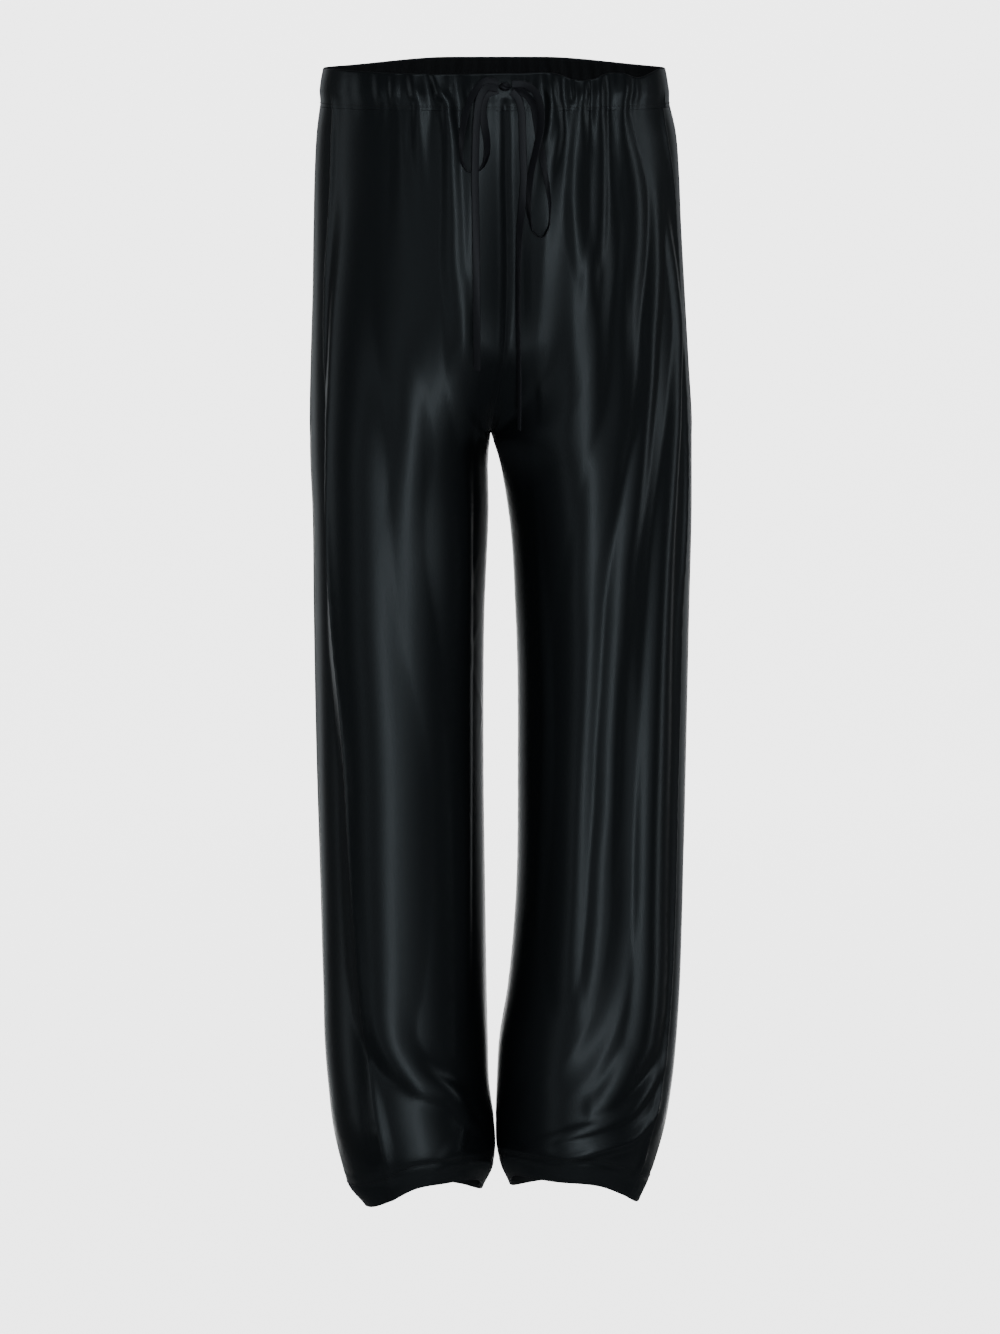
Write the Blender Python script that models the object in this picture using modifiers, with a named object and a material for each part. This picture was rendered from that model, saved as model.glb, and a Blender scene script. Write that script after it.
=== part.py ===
"""Wide satin drawstring trousers, in the hollow form they take when they are worn.

They are put together as the garment is cut: two front and two back leg panels, a
gathered casing round the waist in a front and a back length, and a flat drawstring
that is tied in a bow at the front.

Metres. X runs across the garment, -Y is its front and Z is up. The origin is the
middle of the waist hollow, half way down the casing. "left" and "right" are the
sides that show left and right from the front.
"""

import math

import bmesh
import bpy
import numpy as np

# Sizes in this file's tables are millimetres, and MM turns them into metres.
MM = 0.001

# Cloth walls
PANEL_WALL = 1.2
HEM_WALL = 2.2
HEM_DEPTH = 27
CASING_WALL = 3.0
SEAM_GAP = 0.3

# Heights above the origin
CASING_BOTTOM = -19
PANEL_TOP = CASING_BOTTOM - SEAM_GAP
CROTCH = -328
HEM = -1068

# Rise seams: how far above the crotch each one starts to turn under
FRONT_TURN = 105
BACK_TURN = 150
FORM_CHANGE = (150, -170)  # from one hip form to two leg forms, about the crotch
EDGE_SHARE = 0.28  # share of a panel that follows its rise seam

ROUNDNESS = 2.25  # exponent of the sections: 2 is an ellipse, more is squarer
ARC_SAMPLES = 240  # points of a section before its columns are spaced evenly

# Rows and columns of the panels and of the casing
HIP_ROWS = 8
TURN_ROWS = 6
LEG_ROWS = 24
FRONT_COLUMNS = 21
BACK_COLUMNS = 13
CASING_COLUMNS = 26
CASING_LEVELS = (0.0, 0.3, 0.7, 1.0)

# One row for each section. Above the crotch, inner is the middle seam that both
# halves share. side is the x of the side seam, which lies a little to the front.
SECTION_COLUMNS = ("height", "outer", "side", "inner", "front", "back")
SECTIONS = {
    "left": (
        (30, -160, -149, 8, -112, 106),
        (0, -163, -150, 8, -115, 110),
        (-45, -169, -152, 9, -119, 116),
        (-80, -171, -153, 9, -121, 120),
        (-130, -172, -156, 10, -122, 125),
        (-190, -173, -160, 10, -121, 128),
        (-260, -175, -160, 6, -119, 128),
        (-328, -176, -155, -5, -116, 122),
        (-345, -176, -155, -7, -114, 120),
        (-400, -174, -153, -7, -108, 113),
        (-500, -173, -148, -11, -100, 104),
        (-640, -171, -140, -12, -93, 95),
        (-800, -168, -131, -10, -89, 93),
        (-870, -167, -126, -9, -90, 95),
        (-920, -166, -121, -8, -93, 98),
        (-960, -163, -116, -7, -98, 100),
        (-1000, -158, -110, -2, -103, 102),
        (-1030, -150, -105, -1, -104, 103),
        (-1050, -143, -102, -4, -102, 103),
        (-1068, -128, -98, -13, -99, 103),
        (-1100, -120, -94, -16, -97, 103),
    ),
    "right": (
        (30, 157, 151, 8, -112, 106),
        (0, 160, 153, 8, -115, 110),
        (-45, 170, 159, 9, -119, 116),
        (-80, 173, 165, 9, -121, 120),
        (-130, 175, 169, 10, -122, 125),
        (-190, 178, 173, 10, -121, 128),
        (-260, 182, 177, 6, -119, 128),
        (-328, 186, 180, -5, -116, 122),
        (-345, 186, 180, 1, -114, 120),
        (-400, 186, 179, 12, -109, 113),
        (-500, 184, 176, 19, -101, 104),
        (-640, 182, 173, 21, -93, 95),
        (-800, 180, 170, 18, -89, 93),
        (-870, 178, 167, 11, -90, 95),
        (-920, 175, 163, 3, -93, 98),
        (-960, 171, 157, 1, -98, 100),
        (-1000, 164, 148, 0, -103, 102),
        (-1030, 155, 140, 1, -104, 103),
        (-1050, 148, 133, 5, -102, 103),
        (-1068, 140, 126, 13, -99, 103),
        (-1100, 134, 120, 16, -97, 103),
    ),
}

# One row for each long fold: the panel, the heights where it starts and ends, its x
# at four even stations between them, its half width and how far it stands out.
FOLD_COLUMNS = ("panel", "top", "low", "x1", "x2", "x3", "x4", "width", "proud")
FOLDS = (
    ("front_left", 20, -330, -46, -39, -32, -18, 15, 4.0),
    ("front_left", 20, -80, -71, -69, -67, -66, 11, 3.0),
    ("front_left", -10, -230, -90, -104, -115, -115, 24, 4.5),
    ("front_left", -215, -500, -115, -111, -116, -118, 32, 6.0),
    ("front_left", -440, -900, -122, -108, -103, -94, 24, 8.5),
    ("front_left", -850, -985, -98, -89, -57, -12, 20, 9.0),
    ("front_left", -260, -500, -82, -67, -50, -38, 26, 6.0),
    ("front_left", -510, -850, -32, -34, -41, -53, 22, 5.5),
    ("front_left", -955, -1035, -150, -140, -126, -111, 14, 4.0),
    ("front_left", -970, -1045, -17, -22, -29, -40, 13, 4.0),
    ("front_right", 20, -70, 51, 50, 48, 44, 9, 3.0),
    ("front_right", 20, -180, 77, 78, 76, 82, 13, 4.5),
    ("front_right", 20, -180, 97, 97, 95, 87, 12, 4.5),
    ("front_right", 20, -880, 116, 114, 84, 73, 20, 9.5),
    ("front_right", -80, -880, 149, 131, 108, 78, 18, 8.5),
    ("front_right", -100, -880, 151, 157, 142, 143, 18, 7.5),
    ("front_right", -855, -985, 143, 137, 120, 80, 20, 8.0),
    ("front_right", -220, -580, 174, 177, 174, 168, 18, 3.5),
    ("front_right", -350, -770, 32, 47, 48, 37, 22, 5.5),
    ("front_right", -925, -1020, 159, 139, 97, 50, 16, 5.0),
    ("front_right", -955, -1050, 158, 146, 116, 72, 14, 4.5),
    ("back_left", 20, -260, -60, -68, -78, -92, 17, 4.0),
    ("back_left", 20, -140, -104, -106, -110, -114, 14, 3.5),
    ("back_left", -200, -620, -120, -122, -112, -104, 26, 7.5),
    ("back_left", -330, -700, -52, -60, -70, -82, 24, 7.5),
    ("back_left", -600, -960, -74, -84, -96, -108, 24, 7.5),
    ("back_left", -820, -1030, -40, -56, -80, -116, 20, 7.5),
    ("back_right", 20, -240, 58, 66, 76, 90, 17, 4.0),
    ("back_right", 20, -160, 108, 110, 114, 118, 14, 3.5),
    ("back_right", -190, -600, 128, 130, 122, 112, 26, 7.5),
    ("back_right", -330, -720, 58, 66, 74, 84, 24, 7.5),
    ("back_right", -620, -950, 84, 92, 104, 118, 24, 7.5),
    ("back_right", -830, -1030, 46, 62, 88, 124, 20, 7.5),
)
FADE_IN = 0.20  # shares of a fold's length over which it rises and dies away
FADE_OUT = 0.22
SEAM_CALM = 20.0  # folds flatten this close to the middle seam and the inseam

# One row for each gather of the casing: its x, half width and how far it stands out
GATHER_COLUMNS = ("x", "width", "proud")
GATHERS = {
    "front": (
        (-146, 7, 0.8),
        (-122, 8, 0.9),
        (-103, 7, 1.8),
        (-88, 7, 2.0),
        (-69, 7, 2.4),
        (-48, 6, 2.6),
        (-36, 6, 2.2),
        (-20, 7, 1.2),
        (30, 7, 0.5),
        (50, 6, 2.4),
        (61, 6, 2.2),
        (78, 7, 2.8),
        (96, 7, 2.8),
        (108, 6, 2.2),
        (119, 6, 2.6),
        (140, 8, 0.8),
    ),
    "back": (
        (-130, 8, 1.0),
        (-104, 7, 2.2),
        (-82, 8, 2.6),
        (-62, 7, 2.2),
        (-38, 8, 2.8),
        (-18, 7, 2.2),
        (5, 8, 2.6),
        (26, 7, 2.2),
        (48, 8, 2.8),
        (66, 7, 2.0),
        (90, 8, 2.6),
        (112, 7, 2.0),
        (134, 8, 1.0),
    ),
}

# Top edge of the casing along the front, and its height at the middle of the back
EDGE_COLUMNS = ("x", "height")
FRONT_EDGE = (
    (-150, 17),
    (-106, 15),
    (-48, 14),
    (20, 15),
    (58, 14),
    (72, 9),
    (88, 9),
    (102, 14),
    (118, 14),
    (132, 10),
    (148, 15),
    (153, 17),
)
BACK_EDGE = 24
BACK_EDGE_RISE = 1.4  # how soon the back edge climbs from the side seams
UPPER_SECTION = 30  # the section that the casing's top leans towards
CASING_PROUD = 1.0  # the casing stands this far outside the panels
CASING_SWELL = 1.4  # and swells by this much over the drawstring inside it
RIM_GATHER = 0.55  # share of a gather's height that is left at the casing's two edges

# Hem line: height at each share of the way round a leg, from the front inseam
HEM_COLUMNS = ("share", "height")
HEM_LINE = {
    "left": (
        (0.00, -1060),
        (0.10, -1046),
        (0.22, -1039),
        (0.34, -1044),
        (0.44, -1058),
        (0.52, -1076),
        (0.75, -1088),
        (0.92, -1076),
        (1.00, -1060),
    ),
    "right": (
        (0.00, -1056),
        (0.10, -1041),
        (0.22, -1037),
        (0.34, -1050),
        (0.42, -1062),
        (0.54, -1072),
        (0.75, -1086),
        (0.92, -1074),
        (1.00, -1056),
    ),
}
HEM_REACH = 110  # rows this close to the hem follow its line

# Drawstring: a flat ribbon
RIBBON_WIDTH = 6.8
RIBBON_THICKNESS = 1.0
POINT_SPACING = 10.0
KNOT_SIZE = (12.0, 7.0, 10.0)
KNOT_PLACE = (8.5, -121.3, 3.0)
KNOT_ROUNDING = 0.3  # share of the knot's least size that its edges are rounded by

# Routes of the drawstring's free lengths. turn is the ribbon's twist in degrees:
# 0 shows its face to the front and 90 its edge.
ROUTE_COLUMNS = ("x", "y", "z", "turn")
ROUTES = {
    "bow_loop_left": (
        (2.0, -122.6, 5.5, 5),
        (-8.0, -123.2, 8.5, 10),
        (-17.0, -124.0, 1.0, 20),
        (-24.5, -124.4, -12.0, 30),
        (-29.5, -124.6, -32.0, 35),
        (-31.8, -124.8, -54.0, 60),
        (-31.0, -124.8, -66.0, 75),
        (-26.5, -124.8, -73.5, 88),
        (-20.0, -124.8, -75.5, 90),
        (-12.5, -124.6, -71.0, 80),
        (-8.2, -123.8, -60.0, 50),
        (-8.0, -122.8, -46.0, 25),
        (-10.5, -121.6, -30.0, 12),
        (-11.2, -120.6, -14.0, 8),
        (-7.5, -119.8, -4.0, 5),
        (2.0, -119.6, 0.0, 0),
    ),
    "bow_loop_right": (
        (15.0, -123.7, 5.5, 5),
        (26.0, -124.2, 5.0, 10),
        (36.0, -124.8, -1.5, 15),
        (41.0, -124.8, -14.0, 20),
        (41.8, -125.4, -32.0, 25),
        (38.0, -126.2, -52.0, 30),
        (33.0, -126.8, -75.0, 32),
        (30.5, -127.2, -98.0, 40),
        (31.5, -127.2, -118.0, 65),
        (36.0, -127.0, -131.5, 85),
        (42.0, -126.6, -135.0, 90),
        (48.0, -126.0, -127.0, 85),
        (50.2, -125.2, -110.0, 70),
        (48.0, -124.0, -90.0, 45),
        (44.0, -122.8, -68.0, 25),
        (40.5, -121.8, -48.0, 12),
        (38.0, -120.8, -30.0, 8),
        (34.0, -119.9, -13.0, 8),
        (26.0, -119.3, -3.0, 5),
        (15.0, -118.9, 1.0, 0),
    ),
    "drawstring_tail_left": (
        (2.0, -124.3, 1.5, 0),
        (-8.0, -126.2, 2.5, 5),
        (-14.0, -127.6, -6.0, 8),
        (-17.0, -128.2, -24.0, 5),
        (-18.2, -128.8, -50.0, 5),
        (-18.8, -129.4, -76.0, 5),
        (-18.4, -127.8, -105.0, 5),
        (-17.8, -125.0, -150.0, 10),
        (-17.5, -123.5, -200.0, 20),
        (-17.2, -122.0, -258.0, 35),
    ),
    "drawstring_tail_right": (
        (15.0, -121.4, -1.5, 0),
        (20.0, -121.6, -7.0, 0),
        (23.5, -121.8, -18.0, 0),
        (24.5, -122.0, -35.0, 0),
        (25.0, -122.2, -55.0, 0),
        (26.0, -122.4, -80.0, 0),
        (25.0, -123.2, -100.0, 5),
        (22.5, -125.0, -125.0, 30),
        (21.0, -125.4, -165.0, 50),
        (21.0, -124.8, -220.0, 55),
        (22.0, -123.4, -270.0, 60),
        (21.8, -122.0, -313.0, 60),
    ),
}

SATIN_BLACK = (0.012, 0.013, 0.015, 1.0)
SATIN_ROUGHNESS = 0.32
SHARP_ANGLE = 50.0  # degrees between faces from which an edge looks sharp


def smooth_step(value):
    """0 below 0, 1 above 1, and a soft S between."""
    t = np.clip(value, 0.0, 1.0)
    return t * t * (3.0 - 2.0 * t)


def column(rows, names, name):
    """One named column of a table, as an array."""
    return np.array([row[names.index(name)] for row in rows], float)


def read_smoothly(places, values, at):
    """A table's values at any places, on a smooth curve through its rows."""
    order = np.argsort(places)
    x, v = places[order], values[order]
    slope = np.gradient(v, x)
    at = np.clip(at, x[0], x[-1])
    i = np.clip(np.searchsorted(x, at) - 1, 0, len(x) - 2)
    step = x[i + 1] - x[i]
    t = (at - x[i]) / step
    return (
        v[i] * (1 + 2 * t) * (1 - t) ** 2
        + slope[i] * step * t * (1 - t) ** 2
        + v[i + 1] * t * t * (3 - 2 * t)
        + slope[i + 1] * step * t * t * (t - 1)
    )


def section(side, name, height):
    """One measure of a side's section table at a height."""
    rows = SECTIONS[side]
    if name == "inner":
        # The middle seam ends at the crotch, and the inseam starts there
        above = height >= CROTCH
        rows = [row for row in rows if row[0] == CROTCH or (row[0] > CROTCH) == above]
    heights = column(rows, SECTION_COLUMNS, "height")
    values = column(rows, SECTION_COLUMNS, name)
    return float(read_smoothly(heights, values, height))


def rounded(value):
    """A cosine or sine, bent from a circle's to the sections' own roundness."""
    return np.sign(value) * np.abs(value) ** (2.0 / ROUNDNESS)


def even_columns(points, count):
    """The same line with that many points, evenly spaced along it."""
    steps = np.linalg.norm(np.diff(points, axis=0), axis=1)
    along = np.concatenate([[0.0], np.cumsum(steps)])
    at = np.linspace(0.0, along[-1], count)
    return np.stack([np.interp(at, along, points[:, k]) for k in (0, 1)], axis=1)


def arc(side, height, inner_turn, columns):
    """A level line from the inner end round to the side seam or from it to the back.

    inner_turn is the angle of the inner end: a quarter turn gives the hip form, which
    reaches the middle seam, and a half turn the leg form. It is negative for a back.
    """
    outer, inner = (section(side, name, height) for name in ("outer", "inner"))
    front, back = (section(side, name, height) for name in ("front", "back"))
    middle_y = (front + back) / 2
    whole_leg = abs(inner_turn) > math.pi * 0.75
    centre = (outer + inner) / 2 if whole_leg else inner
    reach = outer - centre
    share = np.clip((section(side, "side", height) - centre) / reach, -1.0, 1.0)
    seam_turn = math.acos(math.copysign(abs(share) ** (ROUNDNESS / 2), share))
    turns = np.linspace(inner_turn, seam_turn, ARC_SAMPLES)
    x = centre + reach * rounded(np.cos(turns))
    depth = np.where(turns > 0, middle_y - front, back - middle_y)
    y = middle_y - depth * rounded(np.sin(turns))
    return even_columns(np.stack([x, y], axis=1), columns)


def turn_share(height, turn_height):
    """How far a rise seam has turned under at a height: 0 above its turn, 1 at the crotch."""
    rise = np.clip((height - CROTCH) / turn_height, 0.0, 1.0)
    return 1.0 - math.sqrt(1.0 - (1.0 - rise) ** 2)


def panel_line(side, height, columns, is_front):
    """A panel's level line from its inner end to the side seam."""
    sign = 1 if is_front else -1
    hip = arc(side, height, sign * math.pi / 2, columns)
    leg = arc(side, height, sign * math.pi, columns)
    start, end = FORM_CHANGE
    general = smooth_step((CROTCH + start - height) / (start - end))
    at_seam = turn_share(height, FRONT_TURN if is_front else BACK_TURN)
    spread = smooth_step(np.linspace(0.0, 1.0, columns) / EDGE_SHARE)
    share = (at_seam + (general - at_seam) * spread)[:, None]
    return hip * (1 - share) + leg * share


def leg_patch(side, heights, front_columns, back_columns):
    """Points of one half of the garment, as rows of level lines.

    Each row starts at the middle seam or inseam of the front, runs round the side
    seam, and ends at the middle seam or inseam of the back.
    """
    rows = []
    for height in heights:
        front = panel_line(side, height, front_columns, True)
        back = panel_line(side, height, back_columns, False)
        line = np.concatenate([front, back[::-1][1:]])
        rows.append(np.column_stack([line, np.full(len(line), height)]))
    return np.array(rows)


def side_sign(side):
    return -1.0 if side == "left" else 1.0


def outward(patch, side):
    """Unit normals of a patch, pointing out of the garment."""
    down = np.gradient(patch, axis=0)
    across = np.gradient(patch, axis=1)
    sign = side_sign(side)
    normals = sign * np.cross(down, across)
    inseam = patch[:, 0, 2] <= CROTCH
    shared = normals[inseam, 0] + normals[inseam, -1]
    normals[inseam, 0] = normals[inseam, -1] = shared
    for end in (0, -1):
        # At the middle seam a wall's inner face stays on its own side
        lean = np.minimum(sign * normals[~inseam, end, 0], 0.0)
        normals[~inseam, end, 0] = sign * lean
    return normals / np.linalg.norm(normals, axis=2, keepdims=True)


def distance_along(patch):
    """How far each point is along its row, from the row's first point."""
    steps = np.linalg.norm(np.diff(patch, axis=1), axis=2)
    return np.concatenate([np.zeros((len(patch), 1)), np.cumsum(steps, axis=1)], axis=1)


def bump(distance, width):
    """A smooth rise of 1 at no distance, falling to 0 at the half width."""
    return 0.5 + 0.5 * np.cos(math.pi * np.clip(distance / width, -1.0, 1.0))


def fold_relief(patch, side):
    """How far the long folds of a side move each point of a patch outwards."""
    sign = side_sign(side)
    along = distance_along(patch)
    relief = np.zeros(patch.shape[:2])
    for fold in (dict(zip(FOLD_COLUMNS, row)) for row in FOLDS):
        if not fold["panel"].endswith(side):
            continue
        top, low = fold["top"], fold["low"]
        path = np.array([fold[station] for station in ("x1", "x2", "x3", "x4")], float)
        stations = np.linspace(top, low, len(path))
        for r, line in enumerate(patch):
            height = line[0, 2]
            if not low < height < top:
                continue
            x = read_smoothly(stations, path, height)
            slope = x - read_smoothly(stations, path, height - 1.0)
            widest = int(np.argmax(sign * line[:, 0]))
            if fold["panel"].startswith("front"):
                reached = slice(0, widest + 1)
                place = np.interp(sign * x, sign * line[reached, 0], along[r, reached])
            else:
                place = np.interp(-sign * x, -sign * line[widest:, 0], along[r, widest:])
            gone = (top - height) / (top - low)
            rise = 1.0 if top > CASING_BOTTOM else smooth_step(gone / FADE_IN)
            strength = fold["proud"] * rise * smooth_step((1.0 - gone) / FADE_OUT)
            across = (along[r] - place) / math.hypot(1.0, slope)
            relief[r] += strength * bump(across, fold["width"])
    ends = np.minimum(along, along[:, -1:] - along)
    return relief * smooth_step(ends / SEAM_CALM)


def follow_hem(patch, side):
    """Moves the lowest rows so that the last one runs along the hem line."""
    shares = distance_along(patch)
    shares = shares / shares[:, -1:]
    table = HEM_LINE[side]
    line = read_smoothly(
        column(table, HEM_COLUMNS, "share"), column(table, HEM_COLUMNS, "height"), shares
    )
    weight = smooth_step((HEM + HEM_REACH - patch[:, :, 2]) / HEM_REACH)
    patch[:, :, 2] += (line - HEM) * weight


def part_at_seam(points, edge_at_start, gap):
    """Draws one long edge of a panel back from its seam, along the cloth."""
    edge, inside = (0, 1) if edge_at_start else (-1, -2)
    step = points[:, inside] - points[:, edge]
    points[:, edge] += gap * step / np.linalg.norm(step, axis=1, keepdims=True)


def panel_rows():
    """Heights of the panels' rows: even on the hip and legs, closer at the crotch."""
    hip = np.linspace(PANEL_TOP, CROTCH + BACK_TURN, HIP_ROWS)
    turns = np.linspace(0.0, math.pi / 2, TURN_ROWS + 1)[1:]
    rise = [CROTCH + BACK_TURN * (1.0 - math.sin(turn)) for turn in turns]
    legs = np.linspace(CROTCH, HEM, LEG_ROWS)[1:]
    return np.concatenate([hip, rise, legs])


def satin(name):
    """A plain satin finish of its own for one object."""
    material = bpy.data.materials.new(name + "_satin")
    material.use_nodes = True
    shader = material.node_tree.nodes["Principled BSDF"]
    shader.inputs["Base Color"].default_value = SATIN_BLACK
    shader.inputs["Roughness"].default_value = SATIN_ROUGHNESS
    shader.inputs["Metallic"].default_value = 0.0
    return material


def finish(obj, collection):
    """Puts an object in the garment's collection, with its own finish."""
    obj.data.materials.append(satin(obj.name))
    collection.objects.link(obj)


def cloth_wall(name, outer, inner, collection):
    """A closed cloth wall between two grids of points: its two faces and its four rims."""
    rows, columns = outer.shape[:2]
    mesh = bmesh.new()
    out, back = (
        [[mesh.verts.new(point * MM) for point in row] for row in grid] for grid in (outer, inner)
    )
    for r in range(rows - 1):
        for c in range(columns - 1):
            mesh.faces.new((out[r][c], out[r][c + 1], out[r + 1][c + 1], out[r + 1][c]))
            mesh.faces.new((back[r][c], back[r + 1][c], back[r + 1][c + 1], back[r][c + 1]))
    for c in range(columns - 1):
        for r in (0, rows - 1):
            mesh.faces.new((out[r][c], back[r][c], back[r][c + 1], out[r][c + 1]))
    for r in range(rows - 1):
        for c in (0, columns - 1):
            mesh.faces.new((out[r][c], out[r + 1][c], back[r + 1][c], back[r][c]))
    bmesh.ops.recalc_face_normals(mesh, faces=mesh.faces)
    data = bpy.data.meshes.new(name)
    mesh.to_mesh(data)
    mesh.free()
    data.shade_smooth()
    data.set_sharp_from_angle(angle=math.radians(SHARP_ANGLE))
    finish(bpy.data.objects.new(name, data), collection)


def add_leg_panels(side, collection):
    """The front and back panel of one side, parted at every seam."""
    patch = leg_patch(side, panel_rows(), FRONT_COLUMNS, BACK_COLUMNS)
    relief = fold_relief(patch, side)
    normals = outward(patch, side)
    outer = patch + normals * relief[:, :, None]
    follow_hem(outer, side)
    normals = outward(outer, side)
    wall = np.where(outer[:, :, 2:] < HEM + HEM_DEPTH, HEM_WALL, PANEL_WALL)
    half = SEAM_GAP / 2
    inseam = outer[:, 0, 2] <= CROTCH + 1.0
    outer[~inseam, 0, 0] += side_sign(side) * half
    outer[~inseam, -1, 0] += side_sign(side) * half
    inner = outer - normals * wall
    seam = FRONT_COLUMNS - 1
    for name, part in (("front_", slice(0, seam + 1)), ("back_", slice(seam, None))):
        faces = [outer[:, part].copy(), inner[:, part].copy()]
        for points in faces:
            part_at_seam(points, edge_at_start=name == "back_", gap=half)
            legs = points[inseam]
            part_at_seam(legs, edge_at_start=name == "front_", gap=half)
            points[inseam] = legs
        cloth_wall(name + side, *faces, collection)


def casing_line(length, height):
    """A level line of the front or back casing, from the left side seam to the right."""
    is_front = length == "front"
    halves = [panel_line(side, height, CASING_COLUMNS, is_front) for side in ("left", "right")]
    return np.concatenate([halves[0][::-1], halves[1][1:]])


def top_edge(length, x):
    """Height of the casing's top edge."""
    if length == "front":
        places = column(FRONT_EDGE, EDGE_COLUMNS, "x")
        return read_smoothly(places, column(FRONT_EDGE, EDGE_COLUMNS, "height"), x)
    side_height = FRONT_EDGE[0][1]
    share = np.abs(x) / np.abs(x).max()
    return side_height + (BACK_EDGE - side_height) * smooth_step(BACK_EDGE_RISE * (1.0 - share))


def add_casing(length, collection):
    """One length of the gathered casing, a folded band with the drawstring inside."""
    heights = (CASING_BOTTOM, 0, UPPER_SECTION)
    bottom, middle, top = (casing_line(length, height) for height in heights)
    x = middle[:, 0]
    edge = top_edge(length, x)
    rows = []
    for level in CASING_LEVELS:
        height = CASING_BOTTOM + (edge - CASING_BOTTOM) * level
        upper = np.clip(height / UPPER_SECTION, 0.0, 1.0)[:, None]
        lower = np.clip(height / CASING_BOTTOM, 0.0, 1.0)[:, None]
        line = middle * (1 - upper - lower) + top * upper + bottom * lower
        rows.append(np.column_stack([line, height]))
    band = np.array(rows)
    across = np.gradient(band, axis=1)
    normals = np.cross(across, np.gradient(band, axis=0))
    normals[:, :, 2] = 0.0
    normals *= np.sign(normals[:, :, 1:2].mean()) * (-1.0 if length == "front" else 1.0)
    normals /= np.linalg.norm(normals, axis=2, keepdims=True)
    relief = np.zeros(len(x))
    for gather in (dict(zip(GATHER_COLUMNS, row)) for row in GATHERS[length]):
        relief += gather["proud"] * bump(x - gather["x"], gather["width"])
    for level, line, normal in zip(CASING_LEVELS, band, normals):
        swell = math.sin(math.pi * level)
        fullness = RIM_GATHER + (1.0 - RIM_GATHER) * swell
        out = CASING_PROUD + CASING_SWELL * swell + relief * fullness
        line += normal * out[:, None]
    inner = band - normals * CASING_WALL
    for points in (band, inner):
        part_at_seam(points, edge_at_start=True, gap=SEAM_GAP / 2)
        part_at_seam(points, edge_at_start=False, gap=SEAM_GAP / 2)
    cloth_wall("casing_" + length, band, inner, collection)


def route_points(rows):
    """Places and turns about POINT_SPACING apart on a smooth curve through a route."""
    route = {name: column(rows, ROUTE_COLUMNS, name) for name in ROUTE_COLUMNS}
    places = np.stack([route["x"], route["y"], route["z"]], axis=1)
    steps = np.linalg.norm(np.diff(places, axis=0), axis=1)
    along = np.concatenate([[0.0], np.cumsum(steps)])
    at = np.linspace(0.0, along[-1], round(along[-1] / POINT_SPACING) + 1)
    return np.stack([read_smoothly(along, route[name], at) for name in ROUTE_COLUMNS], axis=1)


def add_ribbon(name, rows, collection):
    """One free length of the drawstring: a flat, round-edged ribbon along its route."""
    points = route_points(rows)
    curve = bpy.data.curves.new(name, "CURVE")
    curve.dimensions = "3D"
    curve.twist_mode = "MINIMUM"
    curve.bevel_depth = RIBBON_THICKNESS / 2 * MM
    curve.bevel_resolution = 2
    curve.extrude = (RIBBON_WIDTH - RIBBON_THICKNESS) / 2 * MM
    curve.use_fill_caps = True
    spline = curve.splines.new("POLY")
    spline.points.add(len(points) - 1)
    for target, (x, y, z, turn) in zip(spline.points, points):
        target.co = (x * MM, y * MM, z * MM, 1.0)
        target.tilt = math.radians(turn)
    finish(bpy.data.objects.new(name, curve), collection)


def add_knot(collection):
    """The knot of the bow: a small soft block of wrapped ribbon."""
    mesh = bmesh.new()
    bmesh.ops.create_cube(mesh, size=1.0)
    bmesh.ops.scale(mesh, vec=[size * MM for size in KNOT_SIZE], verts=mesh.verts)
    bmesh.ops.translate(mesh, vec=[place * MM for place in KNOT_PLACE], verts=mesh.verts)
    data = bpy.data.meshes.new("bow_knot")
    mesh.to_mesh(data)
    mesh.free()
    data.shade_smooth()
    knot = bpy.data.objects.new("bow_knot", data)
    soften = knot.modifiers.new("soften", "BEVEL")
    soften.width = min(KNOT_SIZE) * KNOT_ROUNDING * MM
    soften.segments = 3
    finish(knot, collection)


def main():
    for obj in list(bpy.data.objects):
        bpy.data.objects.remove(obj)
    trousers = bpy.data.collections.new("drawstring_trousers")
    bpy.context.scene.collection.children.link(trousers)
    for side in ("left", "right"):
        add_leg_panels(side, trousers)
    for length in ("front", "back"):
        add_casing(length, trousers)
    for name, rows in ROUTES.items():
        add_ribbon(name, rows, trousers)
    add_knot(trousers)


main()
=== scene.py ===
# %% [markdown]
# # Wide satin drawstring trousers
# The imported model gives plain, thick walls at their real size. This lesson dresses
# them: thin black satin with its folds, a gathered casing, a flat drawstring in a bow
# and the rows of stitching. Everything is in metres, with +Z up and the front
# towards -Y. The origin is the middle of the waist.

# %% Load the frame
import math

import bpy
import numpy as np
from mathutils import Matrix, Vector, noise


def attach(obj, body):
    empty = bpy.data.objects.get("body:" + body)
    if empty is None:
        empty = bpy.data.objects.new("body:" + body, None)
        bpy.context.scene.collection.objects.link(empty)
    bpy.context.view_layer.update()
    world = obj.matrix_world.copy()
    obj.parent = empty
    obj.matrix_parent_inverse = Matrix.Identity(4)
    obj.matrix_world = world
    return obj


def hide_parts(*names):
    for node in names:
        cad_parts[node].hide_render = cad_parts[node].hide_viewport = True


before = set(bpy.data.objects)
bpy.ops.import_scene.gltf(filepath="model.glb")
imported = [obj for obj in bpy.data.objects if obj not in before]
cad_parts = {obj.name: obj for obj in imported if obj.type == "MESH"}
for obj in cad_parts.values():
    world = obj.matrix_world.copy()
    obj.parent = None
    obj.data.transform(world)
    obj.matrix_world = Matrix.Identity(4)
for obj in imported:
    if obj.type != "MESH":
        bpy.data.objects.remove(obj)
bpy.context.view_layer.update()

MM = 0.001  # tables are written in millimetres
print("frame:", sorted(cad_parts))


def add_object(name, data):
    made = bpy.data.objects.new(name, data)
    bpy.context.scene.collection.objects.link(made)
    return made


def add_mesh(name, points, faces):
    mesh = bpy.data.meshes.new(name)
    mesh.from_pydata(points, [], faces)
    mesh.shade_smooth()
    return mesh


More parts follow.
